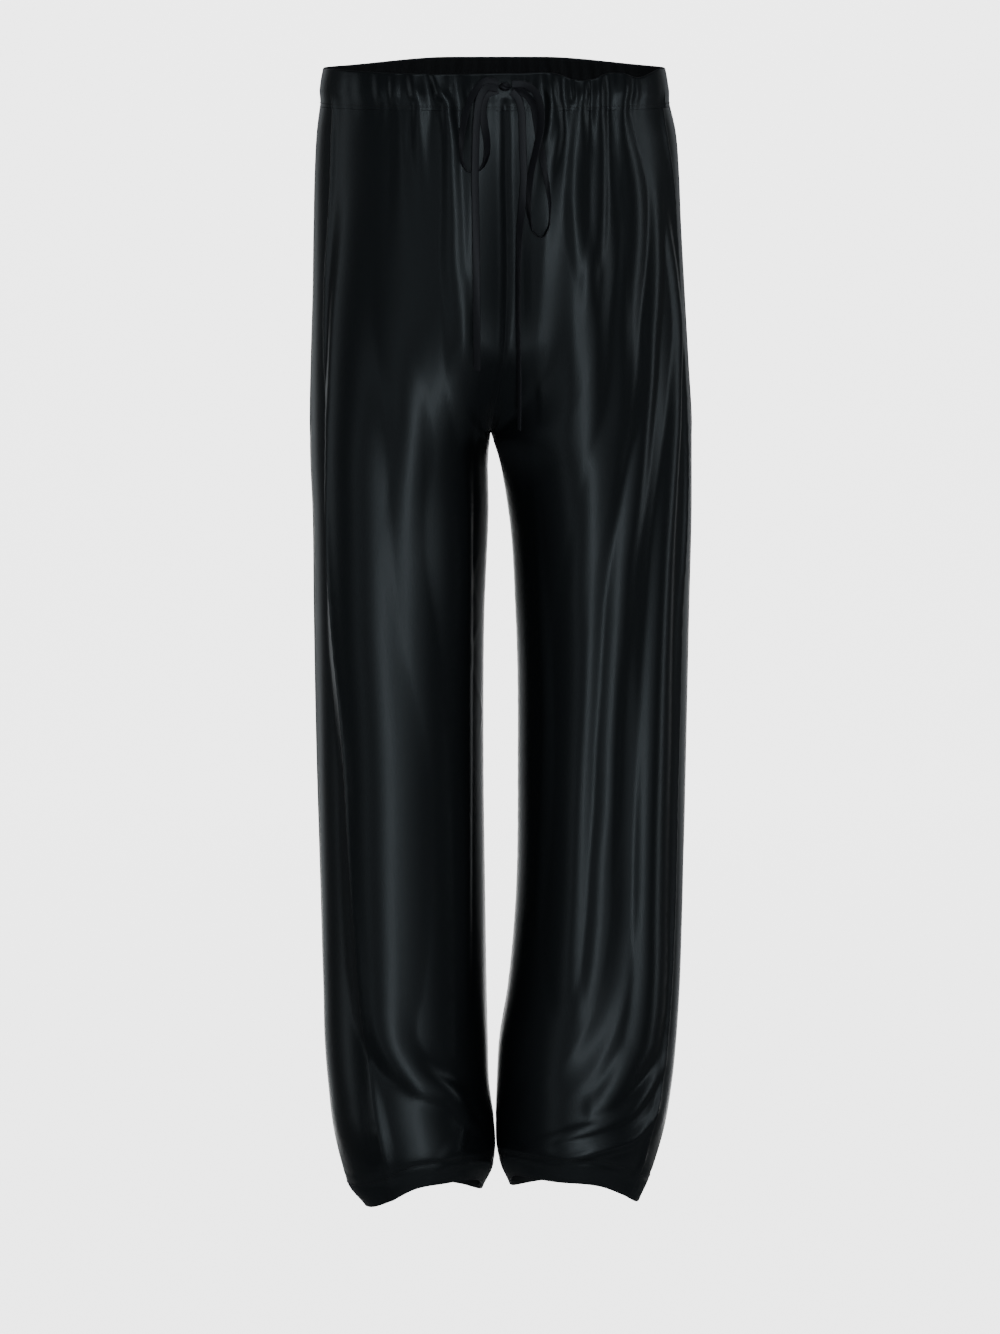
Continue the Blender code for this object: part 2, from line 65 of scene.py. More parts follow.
def place_and_aim(thing, place, target):
    thing.location = place
    thing.rotation_mode = "QUATERNION"
    thing.rotation_quaternion = (target - Vector(place)).to_track_quat("-Z", "Y")


def stand_in(piece, node):
    """The piece rides on the one body and takes the place of a solid."""
    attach(piece, "root")
    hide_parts(node)

# %% [markdown]
# ## The camera
# The photograph looks straight at the front from far away, so the legs hardly
# narrow downwards. A long lens 4.6 m in front, a little above the waist and tipped
# down to the middle of the garment, gives the same flat view.

# %% Camera
CAMERA_PLACE = Vector((0.004, -4.6, 0.156))
CAMERA_AIM = Vector((0.004, 0.0, -0.554))
CAMERA_LENS = 131.0

camera_data = bpy.data.cameras.new("front_camera")
camera_data.lens = CAMERA_LENS
camera_data.clip_end = 30.0
camera = add_object("front_camera", camera_data)
place_and_aim(camera, CAMERA_PLACE, CAMERA_AIM)
bpy.context.scene.camera = camera
print("camera", round((CAMERA_AIM - CAMERA_PLACE).length, 2), "m from its aim")

# %% [markdown]
# ## Reading short tables on a smooth curve
# Cloth and cord have no corners, so every table in this lesson is read through a
# cubic curve that passes through its rows.

# %% Table readers
def smooth_step(value):
    t = np.clip(value, 0.0, 1.0)
    return t * t * (3.0 - 2.0 * t)


def read_smoothly(places, values, at):
    places, values = np.asarray(places, float), np.asarray(values, float)
    order = np.argsort(places)
    x, v = places[order], values[order]
    slope = np.gradient(v, x)
    at = np.clip(at, x[0], x[-1])
    i = np.clip(np.searchsorted(x, at) - 1, 0, len(x) - 2)
    step = x[i + 1] - x[i]
    t = (at - x[i]) / step
    return (
        v[i] * (1 + 2 * t) * (1 - t) ** 2
        + slope[i] * step * t * (1 - t) ** 2
        + v[i + 1] * t * t * (3 - 2 * t)
        + slope[i + 1] * step * t * t * (t - 1)
    )


def lengths_along(points):
    steps = np.linalg.norm(np.diff(points, axis=0), axis=1)
    return np.concatenate([[0.0], np.cumsum(steps)])

# %% [markdown]
# ## The drawstring
# The drawstring is a narrow tube of the same satin, pressed flat. It comes out of the
# knot as two loops and two free ends. Each length is a curve with an extrude and a
# small bevel, which is a flat ribbon with round edges, and its tilt turns the ribbon
# from face to edge along the way. Cords come first, because their room is checked.

# %% Routes of the drawstring
RIBBON_WIDTH = 6.8
RIBBON_THICKNESS = 1.0
RIBBON_STEP = 2.5

# x, y, z in millimetres and the ribbon's turn in degrees
ROUTES = {
    "bow_loop_left": (
        (2, -122.6, 5.5, 5), (-8, -123.2, 8.5, 10), (-17, -124, 1, 20), (-24.5, -124.4, -12, 30),
        (-29.5, -124.6, -32, 35), (-31.8, -124.8, -54, 60), (-31, -124.8, -66, 75),
        (-26.5, -124.8, -73.5, 88), (-20, -124.8, -75.5, 90), (-12.5, -124.6, -71, 80),
        (-8.2, -123.8, -60, 50), (-8, -122.8, -46, 25), (-10.5, -121.6, -30, 12),
        (-11.2, -120.6, -14, 8), (-7.5, -119.8, -4, 5), (2, -119.6, 0, 0),
    ),
    "bow_loop_right": (
        (15, -123.7, 5.5, 5), (26, -124.2, 5, 10), (36, -124.8, -1.5, 15), (41, -124.8, -14, 20),
        (41.8, -125.4, -32, 25), (38, -126.2, -52, 30), (33, -126.8, -75, 32), (30.5, -127.2, -98, 40),
        (31.5, -127.2, -118, 65), (36, -127, -131.5, 85), (42, -126.6, -135, 90), (48, -126, -127, 85),
        (50.2, -125.2, -110, 70), (48, -124, -90, 45), (44, -122.8, -68, 25), (40.5, -121.8, -48, 12),
        (38, -120.8, -30, 8), (34, -119.9, -13, 8), (26, -119.3, -3, 5), (15, -118.9, 1, 0),
    ),
    "drawstring_tail_left": (
        (2, -124.3, 1.5, 0), (-8, -126.2, 2.5, 5), (-14, -127.6, -6, 8), (-17, -128.2, -24, 5),
        (-18.2, -128.8, -50, 5), (-18.8, -129.4, -76, 5), (-18.4, -127.8, -105, 5),
        (-17.8, -125, -150, 10), (-17.5, -123.5, -200, 20), (-17.2, -122, -258, 35),
    ),
    "drawstring_tail_right": (
        (15, -121.4, -1.5, 0), (20, -121.6, -7, 0), (23.5, -121.8, -18, 0), (24.5, -122, -35, 0),
        (25, -122.2, -55, 0), (26, -122.4, -80, 0), (25, -123.2, -100, 5), (22.5, -125, -125, 30),
        (21, -125.4, -165, 50), (21, -124.8, -220, 55), (22, -123.4, -270, 60), (21.8, -122, -313, 60),
    ),
}

# %% Make the ribbons
ribbons = {}
for name, rows in ROUTES.items():
    route = np.array(rows, float)
    along = lengths_along(route[:, :3])
    at = np.linspace(0.0, along[-1], round(along[-1] / RIBBON_STEP) + 1)
    points = np.stack([read_smoothly(along, route[:, k], at) for k in range(4)], axis=1)
    curve = bpy.data.curves.new(name + "_ribbon", "CURVE")
    curve.dimensions = "3D"
    curve.twist_mode = "MINIMUM"
    # shares of the half width, which is the radius of each point
    curve.bevel_depth = RIBBON_THICKNESS / RIBBON_WIDTH
    curve.bevel_resolution = 3
    curve.extrude = 1.0 - RIBBON_THICKNESS / RIBBON_WIDTH
    curve.use_fill_caps = True
    spline = curve.splines.new("POLY")
    spline.points.add(len(points) - 1)
    for target, (x, y, z, turn) in zip(spline.points, points):
        target.co = (x * MM, y * MM, z * MM, 1.0)
        target.tilt = math.radians(turn)
        target.radius = RIBBON_WIDTH / 2 * MM
    ribbon = add_object(name + "_ribbon", curve)
    stand_in(ribbon, name)
    length = lengths_along(points[:, :3])[-1] * MM
    [value * MM for value in points[0, :3]]
    "object" if "loop" in name else "bare"
    ribbons[name] = ribbon
    print(name, round(length * 1000), "mm of ribbon")

# %% [markdown]
# ## Shader sums as plain Python
# A material is easier to read as a sum than as a list of nodes and links. Wire wraps
# one output socket, and the usual operators add the Math nodes.

# %% Wires
class Wire:
    """One output in a material, which adds, subtracts, multiplies and divides."""

    def __init__(self, finish, socket):
        self.finish = finish
        self.socket = socket

    def sum(self, operation, first, second):
        return self.finish.node("ShaderNodeMath", {"operation": operation}, {0: first, 1: second})

    def __add__(self, other):
        return self.sum("ADD", self, other)

    def __sub__(self, other):
        return self.sum("SUBTRACT", self, other)

    def __rsub__(self, other):
        return self.sum("SUBTRACT", other, self)

    def __mul__(self, other):
        return self.sum("MULTIPLY", self, other)

    def __truediv__(self, other):
        return self.sum("DIVIDE", self, other)

    def __rtruediv__(self, other):
        return self.sum("DIVIDE", other, self)

    __radd__ = __add__
    __rmul__ = __mul__


class Finish:
    """A material and the one way that nodes are added to it."""

    def __init__(self, name):
        self.material = bpy.data.materials.new(name)
        self.material.use_nodes = True
        self.tree = self.material.node_tree
        self.shader = self.tree.nodes["Principled BSDF"]

    def node(self, kind, settings=None, sockets=None, output=0):
        made = self.tree.nodes.new(kind)
        for name, value in (settings or {}).items():
            setattr(made, name, value)
        for name, value in (sockets or {}).items():
            self.feed(made.inputs[name], value)
        return Wire(self, made.outputs[output])

    def feed(self, socket, value):
        if isinstance(value, Wire):
            self.tree.links.new(value.socket, socket)
        else:
            socket.default_value = value

    def noise(self, place, scale, detail=2.0):
        sockets = {"Vector": place, "Scale": scale, "Detail": detail}
        return self.node("ShaderNodeTexNoise", {"noise_dimensions": "3D"}, sockets)

    def blend_colours(self, share, first, second):
        settings = {"data_type": "RGBA"}
        sockets = {"Factor": share, 6: first, 7: second}
        return self.node("ShaderNodeMix", settings, sockets, output=2)

# %% [markdown]
# ## Satin
# Satin shows long threads that lie side by side, so its gloss is soft and cool, it
# spreads across the threads, and the cloth itself is nearly black. The threads run
# down the leg. The cloth's own UV map, in metres, carries the fine streaks, so they
# follow every fold. The back of the cloth is duller, and so is cloth that turns under
# at the hem, which lies less evenly. The back is also lighter in colour: partly the
# dull back of the cloth, partly painted light on the shaded inside of the casing.

# %% Satin finishes
# repeats in a metre, across and down
THREADS, CLOUDS = (1400.0, 60.0, 1.0), (30.0, 12.0, 1.0)
# how far down the cloth faces where it grows duller, and its roughness there
DULL_FROM, DULL_FADE, DULL_UNDERSIDE = -0.16, 0.2, 0.95


def satin_finish(name, colour, roughness, streak_depth):
    finish = Finish(name)
    shader = finish.shader.inputs
    cloth = finish.node("ShaderNodeUVMap", {"uv_map": "cloth"})
    streaks = finish.noise(finish.node("ShaderNodeMapping", {}, {0: cloth, 3: THREADS}), 1.0, 3.0)
    clouds = finish.noise(finish.node("ShaderNodeMapping", {}, {0: cloth, 3: CLOUDS}), 1.0)
    darker = tuple(value * 0.8 for value in colour) + (1.0,)
    lighter = tuple(value * 1.25 for value in colour) + (1.0,)
    finish.feed(shader["Base Color"], finish.blend_colours(streaks, darker, lighter))
    facing = finish.node("ShaderNodeNewGeometry", {}, {}, output=1)
    up = finish.node("ShaderNodeSeparateXYZ", {}, {"Vector": facing}, output=2)
    underside = finish.node("ShaderNodeClamp", {}, {"Value": (DULL_FROM - up) / DULL_FADE})
    dull = underside * (DULL_UNDERSIDE - roughness)
    finish.feed(shader["Roughness"], roughness - 0.03 + streaks * 0.03 + clouds * 0.03 + dull)
    bump = finish.node(
        "ShaderNodeBump", {}, {"Strength": 0.5, "Distance": streak_depth, "Height": streaks}
    )
    finish.feed(shader["Normal"], bump)
    shader["Anisotropic"].default_value = 0.35
    shader["Specular Tint"].default_value = (0.86, 0.95, 1.0, 1.0)
    return finish.material


satin = satin_finish("black_satin", (0.010, 0.0115, 0.013), 0.33, 0.00002)
# the back's lighter colour is partly the duller back of the cloth and partly painted light on the shaded
# inside of the casing
satin_back_with_painted_light = satin_finish("black_satin_back_painted_light", (0.034, 0.034, 0.036), 0.62, 0.00004)

# %% [markdown]
# ## The form of the cloth
# The panels follow the same level sections as the solids: a rounded hip form above
# the crotch, a rounded form for each leg below it, and a soft change between them.
# Here they are read at every few millimetres, which leaves room for real folds.

# %% Sections
CASING_BOTTOM = -19.0
SEAM_GAP = 0.3
PANEL_TOP = CASING_BOTTOM - SEAM_GAP
CROTCH = -328.0
HEM = -1068.0
FRONT_TURN = 105.0
BACK_TURN = 150.0
FORM_CHANGE = (150.0, -170.0)
EDGE_SHARE = 0.28
ROUNDNESS = 2.25
ARC_SAMPLES = 400

SECTION_COLUMNS = ("height", "outer", "side", "inner", "front", "back")
SECTIONS = {
    "left": (
        (30, -160, -149, 8, -112, 106), (0, -163, -150, 8, -115, 110), (-45, -169, -152, 9, -119, 116),
        (-80, -171, -153, 9, -121, 120), (-130, -172, -156, 10, -122, 125),
        (-190, -173, -160, 10, -121, 128), (-260, -175, -160, 6, -119, 128),
        (-328, -176, -155, -5, -116, 122), (-345, -176, -155, -7, -114, 120),
        (-400, -174, -153, -7, -108, 113), (-500, -173, -148, -11, -100, 104),
        (-640, -171, -140, -12, -93, 95), (-800, -168, -131, -10, -89, 93),
        (-870, -167, -126, -9, -90, 95), (-920, -166, -121, -8, -93, 98),
        (-960, -163, -116, -7, -98, 100), (-1000, -158, -110, -2, -103, 102),
        (-1030, -150, -105, -1, -104, 103), (-1050, -143, -102, -4, -102, 103),
        (-1068, -128, -98, -13, -99, 103), (-1100, -120, -94, -16, -97, 103),
    ),
    "right": (
        (30, 157, 151, 8, -112, 106), (0, 160, 153, 8, -115, 110), (-45, 170, 159, 9, -119, 116),
        (-80, 173, 165, 9, -121, 120), (-130, 175, 169, 10, -122, 125), (-190, 178, 173, 10, -121, 128),
        (-260, 182, 177, 6, -119, 128), (-328, 186, 180, -5, -116, 122), (-345, 186, 180, 1, -114, 120),
        (-400, 186, 179, 12, -109, 113), (-500, 184, 176, 19, -101, 104), (-640, 182, 173, 21, -93, 95),
        (-800, 180, 170, 18, -89, 93), (-870, 178, 167, 11, -90, 95), (-920, 175, 163, 3, -93, 98),
        (-960, 171, 157, 1, -98, 100), (-1000, 164, 148, 0, -103, 102), (-1030, 155, 140, 1, -104, 103),
        (-1050, 148, 133, 5, -102, 103), (-1068, 140, 126, 13, -99, 103),
        (-1100, 134, 120, 16, -97, 103),
    ),
}


def section(side, name, height):
    rows = SECTIONS[side]
    if name == "inner":
        above = height >= CROTCH
        rows = [row for row in rows if row[0] == CROTCH or (row[0] > CROTCH) == above]
    k = SECTION_COLUMNS.index(name)
    return float(read_smoothly([row[0] for row in rows], [row[k] for row in rows], height))


def rounded(value):
    return np.sign(value) * np.abs(value) ** (2.0 / ROUNDNESS)


def arc(side, height, inner_turn, columns):
    """A level line from the inner end round to the side seam."""
    outer, inner = (section(side, name, height) for name in ("outer", "inner"))
    front, back = (section(side, name, height) for name in ("front", "back"))
    middle_y = (front + back) / 2
    whole_leg = abs(inner_turn) > math.pi * 0.75
    centre = (outer + inner) / 2 if whole_leg else inner
    reach = outer - centre
    share = np.clip((section(side, "side", height) - centre) / reach, -1.0, 1.0)
    seam_turn = math.acos(math.copysign(abs(share) ** (ROUNDNESS / 2), share))
    turns = np.linspace(inner_turn, seam_turn, ARC_SAMPLES)
    x = centre + reach * rounded(np.cos(turns))
    depth = np.where(turns > 0, middle_y - front, back - middle_y)
    points = np.stack([x, middle_y - depth * rounded(np.sin(turns))], axis=1)
    along = lengths_along(points)
    at = np.linspace(0.0, along[-1], columns)
    return np.stack([np.interp(at, along, points[:, k]) for k in (0, 1)], axis=1)


def panel_line(side, height, columns, is_front):
    sign = 1 if is_front else -1
    hip = arc(side, height, sign * math.pi / 2, columns)
    leg = arc(side, height, sign * math.pi, columns)
    start, end = FORM_CHANGE
    general = smooth_step((CROTCH + start - height) / (start - end))
    rise = np.clip((height - CROTCH) / (FRONT_TURN if is_front else BACK_TURN), 0.0, 1.0)
    at_seam = 1.0 - math.sqrt(1.0 - (1.0 - rise) ** 2)
    spread = smooth_step(np.linspace(0.0, 1.0, columns) / EDGE_SHARE)
    share = (at_seam + (general - at_seam) * spread)[:, None]
    return hip * (1 - share) + leg * share

# %% [markdown]
# ## A grid for each half
# One grid runs from the front middle seam round the side seam to the back middle
# seam, so that folds can cross the side seam without a step. It is cut at the side
# seam afterwards.

# %% Grids
FRONT_COLUMNS = 110
BACK_COLUMNS = 100
SEAM = FRONT_COLUMNS - 1  # the column at the side seam
HIP_ROWS = 42
TURN_ROWS = 22
LEG_ROWS = 190
EASE = 60.0  # reach of the rounding above and below the crotch
EASE_SAMPLES, EASE_SPREAD = 181, 22  # even heights, and how many to each side are averaged
EASE_SEAM, EASE_GROWS = 6.0, 26.0  # distance from a seam where it starts, and where it is whole
SIDES = {"left": -1.0, "right": 1.0}


def grid_heights():
    hip = np.linspace(PANEL_TOP, CROTCH + BACK_TURN, HIP_ROWS)
    turns = np.linspace(0.0, math.pi / 2, TURN_ROWS + 1)[1:]
    rise = [CROTCH + BACK_TURN * (1.0 - math.sin(turn)) for turn in turns]
    legs = np.linspace(CROTCH, HEM, LEG_ROWS)[1:]
    return np.concatenate([hip, rise, legs])


def half_grid(side):
    rows = []
    for height in grid_heights():
        front = panel_line(side, height, FRONT_COLUMNS, True)
        back = panel_line(side, height, BACK_COLUMNS, False)
        line = np.concatenate([front, back[::-1][1:]])
        rows.append(np.column_stack([line, np.full(len(line), height)]))
    return np.array(rows)


def outward(grid, side):
    """Unit normals of a grid, pointing out of the garment."""
    sign = SIDES[side]
    normals = sign * np.cross(np.gradient(grid, axis=0), np.gradient(grid, axis=1))
    inseam = grid[:, 0, 2] <= CROTCH
    shared = normals[inseam, 0] + normals[inseam, -1]
    normals[inseam, 0] = normals[inseam, -1] = shared
    for end in (0, -1):
        normals[~inseam, end, 0] = 0.0
    return normals / np.linalg.norm(normals, axis=2, keepdims=True)


def along_rows(grid):
    steps = np.linalg.norm(np.diff(grid, axis=1), axis=2)
    return np.concatenate([np.zeros((len(grid), 1)), np.cumsum(steps, axis=1)], axis=1)


def ease_change(grid):
    """Rounds the small step where the hip's form becomes the legs', away from the seams."""
    heights = grid[:, 0, 2]
    near = np.abs(heights - CROTCH) < EASE
    even = np.linspace(CROTCH + 1.5 * EASE, CROTCH - 1.5 * EASE, EASE_SAMPLES)
    weights = np.exp(-(np.linspace(-2.2, 2.2, 2 * EASE_SPREAD + 1) ** 2))
    weights /= weights.sum()
    along = along_rows(grid)
    ends = np.minimum(along, along[:, -1:] - along)[near]
    from_seams = smooth_step((ends - EASE_SEAM) / EASE_GROWS)
    share = smooth_step(1.5 * (1.0 - np.abs(heights[near] - CROTCH) / EASE))
    for c in range(grid.shape[1]):
        for k in (0, 1):
            line = np.interp(-even, -heights, grid[:, c, k])
            padded = np.pad(line, EASE_SPREAD, mode="reflect", reflect_type="odd")
            eased = np.interp(-heights[near], -even, np.convolve(padded, weights, "valid"))
            grid[near, c, k] += (eased - grid[near, c, k]) * share * from_seams[:, c]
    return grid


half_grids = {side: ease_change(half_grid(side)) for side in SIDES}
print("one half:", half_grids["left"].shape[:2], "points")

# %% [markdown]
# ## Long folds
# Satin is heavy, so its folds are long, soft ridges that start at a gather or at the
# bend of a leg and fade out. Each fold is a short table: where it runs, how far it
# stands out there and how wide it is there. On a front panel its place is the x that
# the photograph shows. On a back panel it is the share of the way from the side seam
# to the middle, because a side has no x of its own.

# %% Folds of the front left leg
# outer is the half width towards the side seam, inner the one towards the middle
FOLD_COLUMNS = ("place", "height", "proud", "outer", "inner")
FOLDS = {}
FOLDS["front_left"] = (
    # the ridge beside the bow, which opens into the inner thigh
    ((-47, -12, 1.6, 7, 7), (-42, -33, 2.1, 9, 8), (-40, -78, 2.2, 11, 9), (-39, -114, 2.2, 13, 10),
     (-38, -159, 2.2, 15, 11), (-32, -209, 2.1, 17, 12), (-29, -251, 2, 19, 13),
     (-24, -284, 1.8, 22, 14), (-20, -320, 1.4, 24, 16), (-18, -370, 0.6, 28, 18),
     (-17, -430, 0, 30, 18)),
    # two short ones beside it
    ((-73, -12, 0.9, 6), (-72, -34, 0.9, 8), (-70, -80, 0.5, 11), (-68, -140, 0, 14)),
    ((-84, -12, 1, 8, 8), (-86, -40, 1.4, 11, 9), (-86, -80, 1.2, 13, 12), (-86, -120, 0.6, 16, 14),
     (-86, -170, 0, 18, 16)),
    # the broad front of the thigh, which narrows below the knee and turns in at the ankle
    ((-132, -90, 0, 20, 26), (-140, -140, 1.6, 18, 34), (-147, -200, 4, 16, 44),
     (-149, -260, 6.4, 16, 52), (-150, -334, 8.6, 15, 58), (-150, -400, 9.4, 15, 62),
     (-149, -460, 9.4, 16, 64), (-146, -520, 8.6, 19, 66), (-138, -580, 7.2, 23, 68),
     (-130, -640, 6.8, 26, 70), (-127, -720, 6.8, 27, 68), (-124, -790, 6.8, 27, 64),
     (-119, -850, 6.6, 27, 54), (-111, -888, 6.2, 26, 42), (-95, -915, 5.6, 24, 30),
     (-68, -940, 4.6, 21, 22), (-38, -957, 3, 17, 16), (-18, -972, 1.2, 14, 14), (-10, -984, 0, 12, 12)),
    # second lobe of the thigh
    ((-92, -235, 0, 18), (-80, -287, 0.9, 18), (-76, -334, 1.2, 20), (-84, -390, 0.7, 20),
     (-94, -440, 0, 20)),
    # the inner thigh, and the band that it leaves along the inseam
    ((-34, -220, 0, 24, 20), (-34, -280, 1.4, 30, 20), (-33, -335, 3.6, 38, 20),
     (-32, -390, 6.4, 42, 20), (-32, -440, 7.6, 42, 20), (-31, -490, 6.4, 36, 19),
     (-30, -550, 4.2, 30, 17), (-29, -620, 2.6, 24, 15), (-28, -700, 2.2, 20, 12),
     (-28, -780, 2, 18, 11), (-28, -850, 1.2, 16, 10), (-28, -900, 0, 12, 8)),
    # the breaks of the cloth above the hem
    ((-60, -935, 0, 12), (-41, -957, 1.5, 12), (-24, -988, 2.1, 12), (-12, -1009, 0.9, 10),
     (-8, -1022, 0, 8)),
    ((-28, -985, 0, 9), (-32, -1004, 1.6, 12), (-40, -1026, 1.4, 14), (-48, -1046, 0.5, 14)),
    ((-156, -935, 0, 10), (-149, -959, 1.4, 12), (-139, -981, 1.9, 13), (-129, -996, 2, 13),
     (-118, -1012, 1.5, 13), (-106, -1030, 0.6, 12), (-98, -1046, 0, 12)),
    # the hollow above the turn at the hem
    ((-62, -905, 0, 12), (-50, -925, -1.4, 14), (-32, -941, -1.4, 13), (-16, -952, -0.5, 10),
     (-8, -960, 0, 8)),
    # small wrinkles of the inseam
    ((-14, -432, 0, 6), (-22, -462, 0.5, 7), (-16, -490, 0, 6)),
    ((-14, -500, 0, 6), (-24, -532, 0.6, 7), (-17, -566, 0, 6)),
    ((-20, -560, 0, 5), (-14, -590, 0.5, 6), (-16, -620, 0, 5)),
)
print("front left:", len(FOLDS["front_left"]), "folds")

# %% Folds of the front right leg
FOLDS["front_right"] = (
    # two short ridges under the right loop of the bow
    ((50, -15, 1.4, 6), (50, -34, 1.5, 6), (46, -53, 1, 6), (42, -72, 0, 6)),
    ((57, -15, 1.4, 6), (57, -48, 1.7, 7), (51, -65, 1.4, 8), (46, -90, 0.6, 9), (40, -120, 0, 10)),
    # two ridges from the gathers, which meet in a point
    ((78, -12, 1.5, 9, 8), (79, -53, 1.7, 12, 11), (76, -76, 1.7, 13, 12), (74, -105, 1.7, 14, 12),
     (76, -135, 1.6, 14, 12), (82, -167, 1.3, 14, 12), (87, -200, 0.6, 13, 12), (90, -230, 0, 12, 10)),
    ((95, -12, 1.5, 9, 8), (96, -62, 1.8, 11, 11), (96, -100, 1.8, 11, 11), (92, -143, 1.6, 11, 11),
     (87, -171, 1.1, 10, 10), (85, -205, 0, 10, 10)),
    # the broad low rise that they end on, which turns away from the middle
    ((88, -70, 0, 24, 40), (89, -120, 2.4, 30, 58), (90, -175, 5, 36, 70), (88, -235, 6.2, 40, 74),
     (84, -300, 6, 38, 70), (77, -370, 4.6, 34, 58), (70, -440, 2.4, 30, 46), (64, -510, 0, 24, 36)),
    # the long ridge from the last gather to the shin
    ((117, -14, 1.6, 9, 7), (119, -38, 2, 12, 10), (124, -62, 2.4, 14, 13), (129, -91, 2.8, 16, 16),
     (130, -135, 3, 17, 18), (126, -176, 3, 17, 19), (122, -217, 3, 17, 20), (124, -260, 3, 16, 22),
     (120, -309, 3, 15, 24), (112, -342, 2.8, 14, 26), (103, -388, 2.5, 14, 28), (94, -434, 2.4, 15, 30),
     (87, -478, 2.6, 16, 32), (84, -523, 2.8, 17, 34), (82, -569, 2.9, 17, 34), (79, -615, 2.9, 17, 34),
     (75, -686, 2.9, 18, 34), (73, -735, 2.8, 18, 32), (70, -784, 2.4, 18, 30), (68, -823, 1.9, 17, 28),
     (69, -858, 1.2, 16, 22), (70, -884, 0, 14, 16)),
    # the next one, which ends against it
    ((150, -80, 0, 12, 12), (150, -120, 2, 13, 14), (149, -192, 3.4, 13, 16), (145, -234, 3.8, 13, 16),
     (143, -268, 3.8, 12, 16), (139, -309, 3.4, 12, 16), (135, -351, 2.8, 12, 17),
     (130, -388, 2.4, 12, 18), (121, -442, 2.1, 13, 18), (116, -497, 1.9, 14, 17),
     (112, -541, 1.7, 14, 16), (108, -597, 1.6, 14, 15), (105, -676, 1.6, 14, 14),
     (100, -735, 1.5, 14, 14), (97, -790, 1.3, 14, 13), (88, -849, 1, 13, 12), (79, -873, 0.6, 12, 11),
     (74, -890, 0, 12, 11)),
    # the outer fold, which turns in towards the ankle
    ((156, -110, 0, 10, 10), (162, -140, 1.8, 10, 12), (168, -180, 3, 10, 14), (172, -226, 4, 10, 15),
     (170, -275, 4.6, 11, 16), (168, -317, 5.2, 13, 17), (165, -351, 5.6, 15, 18),
     (161, -397, 6, 18, 19), (158, -434, 6.2, 20, 19), (155, -487, 6.4, 22, 19),
     (152, -560, 6.6, 24, 20), (150, -630, 6.6, 26, 20), (148, -700, 6.6, 27, 20),
     (147, -780, 6.4, 28, 20), (147, -850, 6.2, 28, 22), (144, -890, 5.8, 27, 24),
     (139, -912, 5.2, 25, 25), (128, -929, 4.6, 22, 24), (113, -948, 3.6, 19, 20),
     (96, -962, 2.2, 17, 18), (78, -968, 0, 14, 15)),
    ((174, -225, 0, 8, 8), (177, -275, 0.9, 8, 9), (179, -330, 1.4, 7, 9), (179, -397, 1.5, 7, 9),
     (177, -442, 1.5, 7, 9), (174, -494, 1.2, 8, 9), (172, -560, 0.6, 8, 9), (171, -620, 0, 9, 9)),
    # the thin inner ridge
    ((33, -350, 0, 10), (38, -420, 0.7, 11), (43, -500, 1.1, 12), (47, -580, 1.4, 12),
     (46, -665, 1.4, 13), (42, -740, 1, 13), (36, -810, 0, 12)),
    # the breaks of the cloth above the hem
    ((166, -920, 0, 9), (158, -934, 1.5, 11), (149, -946, 2, 12), (138, -958, 2.2, 13),
     (125, -971, 2.2, 13), (100, -983, 2.2, 14), (70, -997, 1.7, 14), (49, -1009, 0.9, 13),
     (34, -1018, 0, 10)),
    ((162, -945, 0, 8), (154, -973, 1.4, 10), (144, -988, 1.9, 11), (130, -1002, 2.1, 12),
     (108, -1015, 2, 12), (88, -1027, 1.4, 12), (68, -1038, 0.6, 11), (50, -1046, 0, 10)),
    ((150, -1010, 0, 8), (140, -1030, 1.2, 9), (131, -1048, 1.2, 9), (126, -1066, 0.5, 9)),
    # hollows between the gathers, and above the turn at the hem
    ((106, -20, -0.7, 6), (108, -80, -1.4, 9), (108, -160, -1.4, 12), (106, -240, -1.1, 14),
     (102, -320, -0.6, 14), (96, -380, 0, 12)),
    ((66, -20, -0.8, 7), (62, -90, -1.4, 11), (58, -180, -1.4, 16), (54, -280, -0.9, 18),
     (50, -360, 0, 18)),
    ((124, -520, 0, 10), (124, -600, -1.4, 13), (123, -700, -1.8, 14), (120, -800, -1.8, 14),
     (110, -860, -1.6, 15), (92, -905, -1.6, 16), (70, -935, -0.7, 16), (48, -955, 0, 14)),
)
print("front right:", len(FOLDS["front_right"]), "folds")

